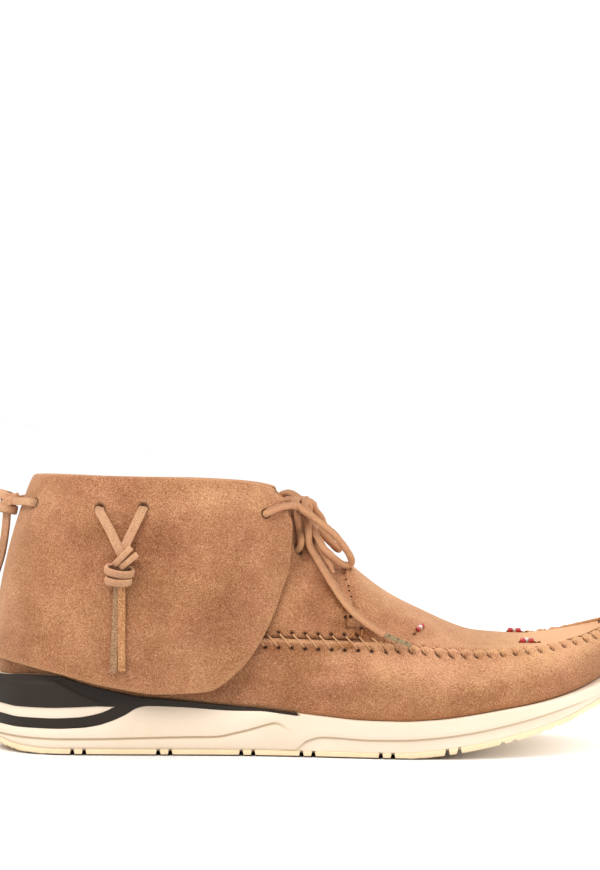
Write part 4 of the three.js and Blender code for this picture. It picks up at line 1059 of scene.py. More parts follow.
# ---- sole
SOLE_STATIONS = 230
station_angle = np.concatenate([
    np.linspace(0, math.pi, SOLE_STATIONS + 1),
    np.linspace(math.pi, 0, SOLE_STATIONS + 1)[1:-1],
])
station_medial = np.concatenate([np.zeros(SOLE_STATIONS + 1, bool), np.ones(SOLE_STATIONS - 1, bool)])
station_x = HALF_LENGTH * np.cos(station_angle)
SPINE = "spine"
MIDDLE_INSET = 20.0
SPLIT_INSET = 0.9
CRADLE_INSET = 4.4
CRADLE_FRONT = -6.0
CRADLE_WALL = 2.8
WINDOW_FRONT = -88.6
WINDOW_TIP = 23.3
GROOVE_MOUTH = GROOVE_WIDTH * 0.72
GROOVE_FLOOR = GROOVE_WIDTH / 2.6
groove_middles = [place + shift * GROOVE_SPACING for place in groove_places for shift in (-0.5, 0.5)]


def sole_ring(inset, height, by_own_x=False):
    """A ring at an inset, or along the spine. Height is a number for each station, or a function of x."""
    if inset is SPINE:
        x = np.clip(station_x, SPINE_HEEL, SPINE_TOE)
        return vec(x, spine_y(x), height(x))
    x, y = outline_point(station_medial, station_angle, inset)
    z = height(x if by_own_x else station_x) if callable(height) else height
    return vec(x, y, z)


def body_of_rings(rings, dark=0.0):
    """A closed body from rings, given as sole_ring takes them, and the dark of its points."""
    grid = np.stack([sole_ring(*ring) for ring in rings], axis=1)
    dark = np.broadcast_to(dark, grid.shape[:2]).ravel()
    return weld(*surface(grid, closed_rows=True), {"dark": dark})


def sole_floor(x):
    """The foam's underside, over the tread."""
    return under_at(x) + OUTSOLE_THICKNESS + 0.05


def dish(x):
    """The foam's hollow for the footbed."""
    return edge_at(x) - dish_at(x)


def make_midsole():
    """Foam with two steps round its side, a dished footbed and a recess that holds the cradle."""
    x = station_x
    floor = sole_floor(x)
    low = np.maximum(low_step_at(x), floor + 0.4)
    edge = edge_at(x)
    no_high = smoothstep(-18, -8, x)
    high = np.clip(high_step_at(x) * (1 - no_high) + (low + edge) / 2 * no_high, low + 0.9, edge - 2.2)
    step = 0.6 + STEP_DEPTH - 0.4 * no_high
    recess = np.where(x < CRADLE_FRONT, CRADLE_INSET + CLEARANCE, SPLIT_INSET)
    under_cradle = np.where(x < CRADLE_FRONT, np.minimum(underside(x), edge - 0.7), edge - 0.7)
    under_cradle = np.maximum(under_cradle - CLEARANCE, high + 0.9)
    lower, upper = window_levels(x)
    lower = np.maximum(lower, under_cradle + 0.04)
    upper = np.maximum(upper, lower + 0.06)
    sill = np.where((x < WINDOW_FRONT) & (upper - lower > 0.3), SPLIT_INSET, recess)
    rings = [
        (SPINE, sole_floor),
        (MIDDLE_INSET, sole_floor, True),
        (JOINT_INSET + 0.1, floor),
        (JOINT_INSET, floor + 0.1),
        (JOINT_INSET, np.maximum(low - 0.9, floor + 0.3)),
        (JOINT_INSET, np.maximum(low - 0.35, floor + 0.35)),
        (JOINT_INSET - 0.2, low + 0.1),
        (step + 0.1, low + 0.3),
        (step - 0.1, low + 0.65),
        (step - 0.1, np.maximum(high - 1.3, low + 0.7)),
        (step - 0.1 * no_high, np.maximum(high - 0.75, low + 0.75)),
        (step + 0.05 - 0.15 * no_high, np.maximum(high - 0.25, low + 0.8)),
        (step - 0.25 + 0.15 * no_high, np.maximum(high + 0.05, low + 0.85)),
        (0.7 + 0.2 * no_high, high + 0.3),
        (0.55 + 0.35 * no_high, high + 0.8),
        (0.75 + 0.15 * no_high, under_cradle - 0.2),
        (SPLIT_INSET, under_cradle),
        (recess, under_cradle + 0.02),
        (recess, lower),
        (sill, lower + 0.02),
        (sill, upper - 0.02),
        (recess, upper),
        (np.maximum(recess, 1.2), edge - 0.5),
        (np.maximum(recess, 1.5), edge - 0.15),
        (np.maximum(recess + 0.3, 2.1), edge),
        (9.0, edge),
        (9.7, edge - 0.4),
        (DISH_INSET, dish),
        (MIDDLE_INSET, dish, True),
        (SPINE, dish),
    ]
    # Painted shade along the two step lines, under the ledges where the foam steps back.
    low_shade, high_shade = np.zeros((2, len(rings)))
    low_shade[[5, 6, 7]] = [0.5, 0.75, 0.35]
    high_shade[[10, 11, 12]] = [0.6, 0.75, 0.35]
    low_seen = smoothstep(1.5, 4, low - floor)
    high_seen = smoothstep(0.9, 1.4, high - low) * (1 - no_high)
    dark = low_seen[:, None] * low_shade + high_seen[:, None] * high_shade
    points, faces, values = body_of_rings(rings, dark)
    make_piece("midsole_foam_body", points, faces, MIDSOLE_FOAM, "midsole_foam", "midsole", values, crease=40)


def underside(x):
    """The cradle's lower edge. Its forward strip thins out towards its end."""
    return cradle_underside_at(x) + 0.9 * smoothstep(-50, -14, x) + 0.9 * smoothstep(-40, -10, x)


def window_levels(x):
    """The leaf-shaped window's lower and upper line. Past its tip both lie in the middle of the cradle."""
    closing = smoothstep(cradle_window["x"][-1] - 2, WINDOW_FRONT, x)
    middle = (np.minimum(underside(x), edge_at(x) - 0.9) + edge_at(x)) / 2
    for level in (window_lower(x), window_upper(x)):
        yield np.where(x >= WINDOW_FRONT, middle, level + (WINDOW_TIP - level) * closing)


def make_cradle():
    """A moulded cup round the heel: two bands that meet in front of a leaf-shaped window."""
    order = np.where(station_x < CRADLE_FRONT)[0]
    x = station_x[order]
    edge = edge_at(x)
    under = np.minimum(underside(x), edge - 0.7)
    lower, upper = window_levels(x)
    levels = [under + (lower - under) * t for t in np.linspace(0, 1, 7)]
    window = len(levels) - 1
    levels += [upper + (edge - 0.05 - upper) * t for t in np.linspace(0, 1, 15)]
    ridge = np.interp(x, [-154, -118, -104, -94, -60], [33.6, 33.9, 27.0, 23.6, 24.4])
    bulge = 0.35 * smoothstep(1.5, 7, edge - under)
    columns = []
    for z in levels:
        facet = 0.9 * smoothstep(-0.7, 0.7, z - ridge) * falling(-100, -84, x)
        swell = bulge * np.sin(np.pi * np.clip((z - under) / np.maximum(edge - under, 1e-3), 0, 1))
        px, py = outline_point(station_medial[order], station_angle[order], 0.75 - swell + facet)
        columns.append(vec(px, py, z))
    points, faces = surface(np.stack(columns, axis=1))
    row, column = np.divmod(faces[:, 0], len(columns))
    faces = faces[(column != window) | ((upper - lower)[row] <= 0.02)]
    points, faces, values = thick(points, faces, CRADLE_WALL, {}, roundness=0.08)
    make_piece(
        "heel_cradle_cup", points, faces, CRADLE_PLASTIC, "cradle_plastic", "heel_cradle", values, crease=50)


def groove_depth(x):
    """How far the tread's grooves cut in at x. They come in pairs with a lug between."""
    depth = np.zeros_like(x)
    for place in groove_middles:
        flank = (GROOVE_MOUTH - np.abs(x - place)) / (GROOVE_MOUTH - GROOVE_FLOOR)
        depth = np.maximum(depth, GROOVE_DEPTH * np.clip(flank, 0, 1))
    teeth = 0.55 * (0.5 + 0.5 * np.cos(2 * math.pi * x / 3.1)) * falling(-142, -136, x)
    return np.maximum(depth * (1 - 0.72 * smoothstep(52, 104, x)), teeth)


# The tread's side, as insets from its joint with the foam and heights over its underside.
TREAD_PROFILE = [(0.6, 0.0), (-0.2, 0.62), (-0.3, 0.8), (-0.2, 2.85), (0.0, 3.0)]


def make_outsole():
    """The tread: strips across the sole, cut by pairs of grooves, with fine wavy sipes between them."""
    ends = HALF_LENGTH * np.cos(np.linspace(0, math.acos(0.9), 26))
    xs = set(np.round(ends, 3)) | set(np.round(-ends, 3)) | set(np.arange(-138.5, 138.6, 1.1).round(3))
    for place in groove_middles:
        for away in (-GROOVE_MOUTH, -0.95, -GROOVE_FLOOR, 0, GROOVE_FLOOR, 0.95, GROOVE_MOUTH):
            xs.add(round(place + away, 3))
    angle = angle_at(np.array(sorted(xs, reverse=True)))

    def wall(medial):
        columns = []
        for inset, rise in TREAD_PROFILE:
            x, y = outline_point(np.full(len(angle), medial), angle, JOINT_INSET + inset)
            cut = groove_depth(x)
            rise = np.maximum(rise, cut + rise * (1 - cut / OUTSOLE_THICKNESS))
            columns.append(vec(x, y, under_at(HALF_LENGTH * np.cos(angle)) + rise))
        return columns

    lateral, medial = wall(False), wall(True)
    across = []
    for t in np.linspace(0, 1, 26)[1:-1]:
        x, y, _ = (lateral[0] * (1 - t) + medial[0] * t).T
        sipe = 0.35 * smoothstep(0.75, 1.0, np.cos(2 * math.pi * (x + 2.2 * np.sin(y * 0.45)) / 5.5))
        across.append(vec(x, y, under_at(x) + np.maximum(groove_depth(x), sipe)))
    over = []
    for t in np.linspace(1, 0, 8)[1:-1]:
        x, y, _ = (lateral[-1] * (1 - t) + medial[-1] * t).T
        over.append(vec(x, y, under_at(x) + OUTSOLE_THICKNESS))
    columns = lateral + over[::-1] + medial[::-1] + across[::-1]
    points, faces = surface(np.stack(columns, axis=1), closed_columns=True)
    # Painted shade in the grooves, weaker towards the toe.
    dark = 0.85 * smoothstep(0.35, 1.0, groove_depth(points[:, 0]) / GROOVE_DEPTH)
    dark = dark * (1 - 0.5 * smoothstep(60, 100, points[:, 0]))
    # Painted contact shadow along the lowest part of the tread's side, where it meets the floor.
    painted_contact_shadow = 0.97 * falling(0.64, 0.78, points[:, 2])
    values = {"dark": np.maximum(dark, painted_contact_shadow)}
    make_piece("tread", points, faces, TREAD_RUBBER, "tread_rubber", "outsole", values, crease=35)


def footbed_top(drop):
    """The height of the footbed's upper face, lowered by drop, as a function of x."""
    def height(x):
        return dish(x) + CLEARANCE + INSOLE_THICKNESS - drop
    return height


def footbed_under(x):
    return dish(x) + CLEARANCE


def make_insole():
    """The footbed, with a soft edge and a shallow seat for the heel and the ball of the foot."""
    side = DISH_INSET + CLEARANCE
    points, faces, values = body_of_rings([
        (SPINE, footbed_under),
        (MIDDLE_INSET, footbed_under, True),
        (side, footbed_under),
        (side, footbed_top(0.8)),
        (side + 0.25, footbed_top(0.25)),
        (side + 0.9, footbed_top(0)),
        (DISH_INSET + 4, footbed_top(0.1), True),
        (MIDDLE_INSET, footbed_top(0.4), True),
        (SPINE, footbed_top(0.6)),
    ])
    make_piece("footbed", points, faces, FOOTBED_SUEDE, "footbed_suede", "insole", values)


make_midsole()
make_cradle()
make_outsole()
make_insole()

# ---- upper
# Soft troughs (negative) and ridges: where on the side, turn from level, half length,
# half width, and how deep or high.
creases = table("x z turn length width height", [
    [-4, 43, 8, 26, 4.5, -0.9],
    [12, 40, 20, 14, 4, -0.6],
    [44, 36, -8, 24, 6, 0.7],
    [66, 38, -60, 9, 3.2, -0.6],
    [82, 40, -55, 9, 3, -0.5],
    [98, 41, -50, 9, 3, -0.5],
    [30, 61, -38, 20, 5, -0.7],
    [46, 62, -30, 22, 6, 0.6],
    [6, 74, 70, 22, 5, -0.6],
    [-6, 66, 80, 20, 6, 0.5],
    [70, 52, -12, 16, 4, -0.6],
])
flap_swells = table("x z turn length width height", [
    [-104, 96, 30, 16, 9, -0.8],
    [-118, 74, 75, 22, 9, -0.7],
    [-60, 98, -20, 30, 12, -0.9],
    [-48, 70, 60, 24, 12, 0.8],
    [-80, 56, 10, 34, 10, 0.7],
    [-30, 88, 75, 22, 8, -0.7],
    [-70, 40, 5, 36, 6, -0.5],
    [-128, 100, 80, 18, 7, 0.8],
    [-24, 112, 40, 14, 7, 0.6],
])


# Lighter (positive) and darker patches of the suede, placed like the troughs: where on the side, turn,
# half length, half width and how much. Most are tone that differs from place to place; the rows marked below
# paint light or shade.
flap_tones = table("x z turn length width height", [
    # painted light along the flap's top, where the fold faces the light from above
    [-55, 118, 0, 70, 9, 0.3],
    [-70, 92, -75, 26, 16, -0.34],
    [-115, 66, 70, 34, 18, 0.1],
    [-40, 66, 60, 26, 14, -0.2],
    [-70, 44, 0, 50, 9, 0.1],
    [-22, 96, 80, 18, 6, 0.26],
    [-104, 104, 40, 14, 8, -0.26],
])
body_tones = table("x z turn length width height", [
    [2, 68, 75, 22, 13, -0.2],
    [-3, 84, 70, 12, 6, 0.2],
    [22, 47, -6, 26, 6, 0.36],
    [-2, 50, 0, 22, 3.5, -0.42],
    [8, 42, 5, 14, 4, -0.3],
    # painted shadow beneath the aglet, right of the bar tack
    [26, 58, 0, 5, 2.6, -1.1],
    # painted shadow beside the long lace end
    [12.2, 74.2, -52, 8.5, 1.9, -1.5],
    [15, 62, 0, 6, 3, -0.3],
    [14, 30, 8, 36, 5, -0.34],
    [62, 38, 4, 40, 9, 0.4],
    [92, 33, 15, 26, 5, -0.2],
    [118, 46, 30, 18, 8, 0.36],
    [40, 72, -40, 26, 8, 0.26],
    [84, 58, 0, 30, 5, -0.1],
    # painted light on the top of the plug towards the toe
    [120, 54, 12, 30, 10, 0.95],
    [40, 48, 0, 34, 8, 0.2],
    [-60, 34, 0, 40, 6, -0.3],
    [140, 56, 70, 10, 6, 0.2],
])


def relief(rows, points):
    """The height of a table's soft troughs and ridges at places on the side."""
    x, z = points[..., 0], points[..., 2]
    total = np.zeros_like(x)
    for cx, cz, turn, length, width, height in zip(*rows.values()):
        c, s = math.cos(math.radians(turn)), math.sin(math.radians(turn))
        along = (x - cx) * c + (z - cz) * s
        across = -(x - cx) * s + (z - cz) * c
        total += height * np.exp(-np.square(along / length) - np.square(across / width))
    return total


# Arc length along the seam from the toe, for any ring coordinate. Medial values run on past the heel.
ring_steps = np.linspace(0, TURN, 4001)
arc_steps = running_total(norm(np.diff(seam_line(ring_steps), axis=0)))
SEAM_LENGTH = float(arc_steps[-1])


def seam_arc(u):
    """The arc length along the seam at a ring coordinate."""
    return np.interp(np.mod(u, TURN), ring_steps, arc_steps)


def arc_place(s):
    """The ring coordinate at an arc length along the seam."""
    return np.interp(np.mod(s, SEAM_LENGTH), arc_steps, ring_steps)


def from_toe(s):
    """Distance from the toe along the seam, the nearer way."""
    s = np.mod(s, SEAM_LENGTH)
    return np.minimum(s, SEAM_LENGTH - s)


GATHER_END = float(seam_arc(6.6))
STITCHES = int(round(SEAM_LENGTH / STITCH_PITCH))
PITCH = SEAM_LENGTH / STITCHES
SLIT_DOWN = 2.9
SLIT_SLANT = 0.75
WALL_HOLE_DOWN = 4.2
QUARTER_HOLE_UP = 3.2


def stitch_phase(s):
    """Position between stitches, -0.5 to 0.5, and 0 at a stitch."""
    turn = np.mod(s, SEAM_LENGTH) / PITCH
    return turn - np.round(turn)


def gathers(s, down):
    """How gathered the wall is, the position between its slanted slits, and how far each slit's length
    and depth differ from its neighbours', -1 to 1."""
    gather = falling(GATHER_END - 12, GATHER_END + 6, from_toe(s))
    phase = stitch_phase(s + (down - SLIT_DOWN) * SLIT_SLANT * gather)
    return gather, phase, np.sin(2.4 * np.round(np.mod(s, SEAM_LENGTH) / PITCH) ** 1.3)


def seam_relief(s, down):
    """Height over the wall near the seam: a rolled lip, gathers below it and a slit at each stitch."""
    gather, phase, change = gathers(s, down)
    lip = (0.85 + 0.2 * gather) * hump(down - 0.9, 1.5)
    fold = gather * np.exp(-np.square(down / 7.5)) * (0.6 * np.cos(2 * math.pi * phase) * -1 + 0.1)
    slit = gather * -(1.5 + 0.4 * change) * hump(phase, 0.12)
    slit = slit * hump(down - SLIT_DOWN - 0.4 * change, 1.35 + 0.3 * change)
    hole = (1 - gather) * -0.8 * hump(phase, 0.13) * hump(down - WALL_HOLE_DOWN, 0.75)
    return lip + fold + slit + hole


def seam_painted_shade(s, down):
    """Painted shade in the slits of the forefoot and in the awl holes of the rear."""
    gather, phase, change = gathers(s, down)
    slit = gather * hump(phase, 0.1) * hump(down - SLIT_DOWN - 0.4 * change, 1.3 + 0.35 * change)
    hole = (1 - gather) * hump(phase, 0.15) * hump(down - WALL_HOLE_DOWN, 0.9)
    return np.clip(1.3 * slit + 1.5 * hole, 0, 1)


def rim_shadow(points, centres, hole):
    """Dark at the rims of holes, fading out over half a millimetre."""
    nearest = np.min([norm(points - c) for c in centres], axis=0)
    return 0.9 * falling(hole / 2 - 0.1, hole / 2 + 0.4, nearest)


def spaced(*stretches):
    """Numbers evenly spaced within each stretch, given as its start, end and count."""
    parts = [np.linspace(*stretch) for stretch in stretches]
    return np.concatenate([part[:-1] for part in parts[:-1]] + parts[-1:])


def wrapped_point(u, v):
    """A point of the upper for a ring coordinate that may run past the ring's start or end."""
    return upper_point(np.mod(u, TURN), v)


def offset_grid(u, v, height):
    """A grid of the upper's outer face with a height added along its normal."""
    base = wrapped_point(u, v)
    inside = np.clip(v, FACE_STEP, 2 - FACE_STEP)
    low = np.where((inside > 1) & (inside - FACE_STEP < 1), 1.0, inside - FACE_STEP)
    high = np.where((inside <= 1) & (inside + FACE_STEP > 1), 1.0, inside + FACE_STEP)
    up = wrapped_point(u, high) - wrapped_point(u, low)
    along = wrapped_point(u + FACE_STEP, inside) - wrapped_point(u - FACE_STEP, inside)
    return base + unit(np.cross(up, along)) * height(base)[..., None]


def from_seam(u, points):
    """How far points are from the seam at their ring coordinates."""
    return norm(points - seam_line(np.mod(u, TURN)))


def make_sheet(name, node, points, faces, wall, values, roundness=0.42, raw=1.0):
    """A piece of suede with a wall and rounded rims. Raw is how pale its cut edges are."""
    points, faces, values = thick(points, faces, wall, values, roundness)
    values["raw"] *= raw
    make_piece(name, points, faces, SUEDE, "suede", node, values)


WALL_STATIONS = 1040
SEAM_STATIONS = 420


def make_upper_wall():
    """The wall of the moccasin, from the sole's edge to the seam, gathered round the forefoot."""
    u = arc_place(np.arange(WALL_STATIONS) * SEAM_LENGTH / WALL_STATIONS)
    v = spaced((0, 0.55, 12), (0.55, 0.86, 10), (0.86, 1, 16))
    u, v = np.meshgrid(u, v, indexing="ij")
    down = (1 - v) * from_seam(u, wrapped_point(u, 0)) * 3 * WALL_REACH
    s = seam_arc(u)

    def height(base):
        soft = 1.35 * relief(creases, base) * smoothstep(0, 5, down) * smoothstep(0, 0.25, v)
        tuck = -0.5 * falling(0, 0.06, v)
        above_cradle = smoothstep(-122, -108, base[..., 0]) * falling(-16, 6, base[..., 0])
        full = 2.6 * above_cradle * falling(0, 0.3, v)
        return seam_relief(s, down) + soft + tuck + full

    grid = offset_grid(u, v, height)
    # Tone from the table, with its painted light and shade, and a painted highlight on the rolled lip just
    # below the seam.
    tone = relief(body_tones, grid) + 0.5 * hump(down - 1.0, 1.0)
    # Painted shade in the forefoot's slits and the rear's awl holes.
    values = {"dark": seam_painted_shade(s, down).ravel(), "tone": tone.ravel()}
    make_sheet("upper_wall", "upper", *surface(grid, closed_rows=True), UPPER_WALL, values)


PLUG_WING_END = 9.97


def make_plug():
    """The apron over the toes and instep, tucked in under the wall's rolled lip."""
    wing_end = float(seam_arc(PLUG_WING_END))
    u = arc_place(np.linspace(-wing_end, wing_end, SEAM_STATIONS))
    u[:SEAM_STATIONS // 2] -= TURN
    u, v = np.meshgrid(u, spaced((1.0, 1.1, 8), (1.1, 2, 34)), indexing="ij")
    phase = stitch_phase(seam_arc(u))

    def height(base):
        away = from_seam(u, base)
        tuck = -0.9 * falling(0, 2.2, away)
        nick = -0.35 * hump(phase, 0.12) * hump(away - 2.0, 0.8)
        swell = 0.25 * hump(away - 4.5, 2.2)
        soft = relief(creases, base) * smoothstep(1.05, 1.3, v) * falling(1.85, 2, v)
        return tuck + nick + swell + soft - 0.35 * smoothstep(9.0, 9.8, np.abs(u))

    grid = offset_grid(u, v, height)
    away = from_seam(u, grid)
    # Painted shadow along the seam under the wall's lip, deeper at the rear, and painted shade in the nick at
    # each stitch.
    rear = smoothstep(7.4, 8.6, np.abs(u))
    shadow = (0.35 + 0.6 * rear) * falling(0.3 + 0.6 * rear, 1.4 + 0.9 * rear, away)
    dark = np.maximum(0.8 * hump(phase, 0.1) * hump(away - 2.0, 0.6), shadow)
    values = {"dark": dark.ravel(), "tone": relief(body_tones, grid).ravel()}
    make_sheet("upper_plug", "upper", *surface(grid), UPPER_WALL, values, raw=0.3)


def quarter_swell(place):
    """How far the quarters stand out over the plug at their front."""
    return 0.75 * falling(10, 12.5, place)


def make_quarters():
    """The quarters: from the seam up to the collar, round the heel, with a raw edge at the throat."""
    start, end = seam_arc(QUARTER_START), SEAM_LENGTH - seam_arc(QUARTER_START)
    u = arc_place(np.linspace(start, end, SEAM_STATIONS))
    u, v = np.meshgrid(u, spaced((1.0, 1.12, 9), (1.12, 2, 40)), indexing="ij")
    place = np.minimum(u, TURN - u)
    phase = stitch_phase(seam_arc(u))

    def height(base):
        away = from_seam(u, base)
        tuck = -1.0 * falling(0.4, 2.6, away)
        hole = -0.7 * hump(phase, 0.11) * hump(away - QUARTER_HOLE_UP, 0.6)
        from_top = norm(base - top_line(u)) + 9 * smoothstep(12.8, 13.8, place)
        from_front = np.minimum(seam_arc(u) - start, end - seam_arc(u)) + 1.5 * np.abs(v - 1)
        skived = -1.0 * falling(0, 3.2, np.minimum(from_top, from_front))
        return tuck + hole + quarter_swell(place) + skived + relief(creases, base) * smoothstep(1.05, 1.3, v)

    grid = offset_grid(u, v, height)
    away = from_seam(u, grid)
    # Painted shade in the awl holes, and a painted shadow along the seam under the wall's lip.
    hole = 1.5 * hump(phase, 0.15) * hump(away - QUARTER_HOLE_UP, 0.85)
    dark = np.clip(hole + 0.9 * falling(0.8, 2.0, away), 0, 1).ravel()
    eyelets = [on_quarter(side, *QUARTER_EYELET)[0] for side in SIDES]
    points, faces = punch(*surface(grid), eyelets, LACE_HOLE / 2)
    dark = np.clip(dark + rim_shadow(points, eyelets, LACE_HOLE), 0, 1)
    values = {"dark": dark, "tone": relief(body_tones, points)}
    make_sheet("upper_quarters", "upper", points, faces, UPPER_WALL, values, roundness=0.2, raw=0.3)


make_upper_wall()
make_plug()
make_quarters()

# ---- tongue
tongue_rows = table("place crest_x crest_z", [
    [10.6, 12.6, 91.4],
    [11.4, 6.6, 96.2],
    [12.2, 0.6, 103.6],
    [13, -4.2, 110.6],
])
TONGUE_TUCK = 0.26
TONGUE_CREST_Y = -0.8


def under_quarter(u, v):
    """A place on the tongue, close under the quarter."""
    u, v = np.float64(u), np.float64(v)
    return upper_point(u, v) - face_normal(upper_point, u, v) * (UPPER_WALL + 3 * CLEARANCE)


def make_tongue():
    """The tongue climbs from the rear edge of the plug, under the quarters. Returns its outer points."""
    seam_places = (PLUG_END, 8, CROWN_END, TURN - 8, TURN - PLUG_END)
    seam = [upper_point(u, 2.0) + vec(-CLEARANCE - 0.2, 0, 0.2) for u in seam_places]
    seam[0][1] += 0.2
    seam[4][1] -= 0.2
    rows = [seam]
    for place, crest_x, crest_z in zip(*tongue_rows.values()):
        row = [under_quarter(u, v) for u in (place, TURN - place) for v in (2 - TONGUE_TUCK, 1.98)]
        rows.append([row[0], row[1], vec(crest_x, TONGUE_CREST_Y, crest_z), row[3], row[2]])
    coarse = np.array([spline(row, 60) for row in rows])
    points, faces = surface(np.stack([spline(coarse[:, i], 48) for i in range(coarse.shape[1])], axis=1))
    if point_normals(points, faces)[len(points) // 2][2] < 0:
        faces = faces[:, ::-1]
    make_sheet("tongue_leaf", "tongue", points, faces, TONGUE_WALL, {}, raw=0.3)
    return points


tongue_face = make_tongue()


# ---- collar flap
def make_flap():
    """The collar flap: it folds over the collar and hangs down outside the quarters."""
    rows = spaced((0, 6, 130), (6, 18, 240), (18, FLAP_TURN, 130))
    r, v = np.meshgrid(rows, spaced((0, 0.7, 34), (0.7, 1, 32)), indexing="ij")
    outer = flap_point(r, v)
    normal = face_normal(flap_point, r, np.clip(v, 0.03, 0.97))
    wave = 0.35 * np.sin(r * 2.1 + 0.6) * (1 - v) ** 2
    fade = smoothstep(0, 0.6, r) * smoothstep(0, 0.6, FLAP_TURN - r) * falling(0.85, 1, v)
    outer = outer + normal * ((relief(flap_swells, outer) + wave) * fade)[..., None]
    point, outward = flap_frame(rows)
    stand = FLAP_GAP + FLAP_WALL
    inner = -UPPER_WALL - stand
    over = [
        (stand - 0.3, 0.4), (stand - 2, stand),
        (inner + 2, stand), (inner - 0.3, 0.4), (inner - 1.2, -LIP_DROP),
    ]
    knots = [outer[:, -1]] + [point + outward * out + vec(0, 0, rise) for out, rise in over]
    fold = np.stack([spline(row, 22)[1:] for row in np.stack(knots, axis=1)])
    points, faces = surface(np.concatenate([outer, fold], axis=1))
    lace_holes = [on_flap(side, *FLAP_LACE_HOLE)[0] for side in SIDES]
    tassel_holes = SIDE_TASSEL_HOLES + [HEEL_TASSEL_HOLE]
    strap_holes = [on_flap(side, *hole)[0] for side in SIDES for hole in tassel_holes]
    points, faces = punch(points, faces, lace_holes, LACE_HOLE / 2)
    points, faces = punch(points, faces, strap_holes, STRAP_HOLE / 2)
    dark = rim_shadow(points, lace_holes, LACE_HOLE) + rim_shadow(points, strap_holes, STRAP_HOLE)
    values = {"dark": dark, "tone": relief(flap_tones, points)}
    make_sheet("collar_flap_leaf", "collar_flap", points, faces, FLAP_WALL, values)


make_flap()

# ---- lace crossing and knot
def make_lace_crossing():
    """The lace from the flap's two front holes and the quarters' two eyelets to the knot, and behind it."""
    to_knot = {
        -1: [(-8.8, -28.4, 116.7), (-6.8, -21.5, 115.7), (-4.6, -14, 115.2), (-3.0, -7, 115.4)],
        1: [(-14.0, 27, 118.4), (-11.2, 18, 120.2), (-8.4, 8, 120.3), (-5.8, 2.5, 119.0), (-3.6, 0.4, 117.2),
            (-2.8, -2.0, 115.2)],
    }
    riser_top = {
        -1: [(-5.8, -15.4, 110.4), (-5.6, -12.2, 113.6), (-3.8, -8, 115.2)],
        1: [(-4.4, 15.4, 107.6), (-3.0, 9.0, 110.4), (-2.8, 4, 112.8), (-3.4, -1, 115.2)],
    }
    routes = []
    for side in SIDES:
        start, out = on_flap(side, *FLAP_LACE_HOLE)
        routes.append([
            start - out * (FLAP_WALL + 2.2),
            start - out * 0.4,
            start + out * LACE_DIAMETER * 0.62,
            on_flap(side, -15.4, 115, LACE_DIAMETER / 2 + 0.7)[0],
        ] + to_knot[side])
        start, out = on_quarter(side, *QUARTER_EYELET)
        routes.append([
            start - out * (UPPER_WALL + 2.0) + vec(0, 0, -0.6),
            start - out * 0.8 + vec(0, 0, -0.1),
            start + out * LACE_DIAMETER * 0.42 + vec(0, 0, 0.9),
            start + out * LACE_DIAMETER * 0.6 + vec(0, 0, 3.4),
            on_quarter(side, -6.6, 103.6, LACE_DIAMETER / 2 + 0.5)[0],
        ] + riser_top[side])
    routes += [
        [(-16.5, 4, 114.6), (-13.2, 1, 116.6), (-9.6, -2, 117.9), (-5.6, -4, 117.4), (-3.0, -6, 115.6)],
        [(-5.4, -1.0, 118.2), (-3.2, 0.2, 117.9), (-0.8, 1.4, 117.2), (1.0, 2.3, 116.2), (1.9, 3.1, 114.8)],
        [(-0.6, 0.6, 112.2), (-0.1, 0.8, 114.4), (-1.4, 0.4, 116.6)],
    ]
    points, faces = joined_parts([swept(even_line(route, 0.7), LACE_SECTION) for route in routes])
    # Painted shade on the strands' lower sides.
    values = {"dark": underside_painted_shade(points, faces)}
    make_piece("lace_strands", points, faces, LACE_SUEDE, "lace_suede", "lace_crossing", values)


def ring_band(centre, radii, tilt, turn, section, around=44):
    """A closed band round an upright oval, tipped by tilt about the way out and by turn about its length."""
    angle = turns(around)
    radial = vec(np.cos(angle), np.sin(angle), 0)
    line = radial * np.array([*radii, 0])
    face = unit(radial * np.array([*radii[::-1], 0]))
    across = np.broadcast_to(vec(0, 0, 1), line.shape)
    grid = line[:, None] + across[:, None] * section[None, :, :1] + face[:, None] * section[None, :, 1:]
    rotation = mathutils.Matrix.Rotation
    tip = np.array(rotation(math.radians(tilt), 3, "Y") @ rotation(math.radians(turn), 3, "X"))
    return surface(grid @ tip.T + np.array(centre), closed_rows=True, closed_columns=True)


def make_lace_knot():
    """The bow's knot: a turn of lace over the near loop's start, drawn tight round the other stretches."""
    turn = [
        (-4.4, -6.0, 117.6), (-6.2, -13.0, 118.5), (-7.0, -19.0, 118.1), (-6.2, -22.6, 116.8),
        (-3.8, -23.2, 114.4), (-1.2, -21.8, 112.5), (1.4, -20.3, 110.8),
    ]
    strands = [
        swept(even_line(turn, 0.6), LACE_SECTION),
        ring_band((-3.4, -4.4, 115.6), (2.0, 3.2), 112, 14, LACE_SECTION),
    ]
    # The core is painted dark: the shade behind and between the knot's strands.
    core = ball((-5.2, -5.6, 114.2), (3.7, 5.0, 3.8))
    shades = [underside_painted_shade(*strand) for strand in strands] + [np.full(len(core[0]), 0.6)]
    values = {"dark": np.concatenate(shades)}
    make_piece("bow_knot", *joined_parts(strands + [core]), LACE_SUEDE, "lace_suede", "lace_knot", values)


make_lace_crossing()
make_lace_knot()

# ---- tassels
SIDE_KNOT = (-87.0, 90.0)
SIDE_ENDS = [(-91.0, 40.0), (-87.2, 41.0)]
END_BEHIND_FLAP = 2.4
WRAP_THICKNESS = 1.9
# How dark a tassel's core is painted, as the shade seen between its wraps.
CORE_PAINTED_SHADE = 0.75


def strap(points, width, across):
    """A flat strap through points, its width lying across."""
    line = even_line(points, 0.6)
    return swept(line, strap_section(width, STRIP_THICKNESS), fixed_across=across)


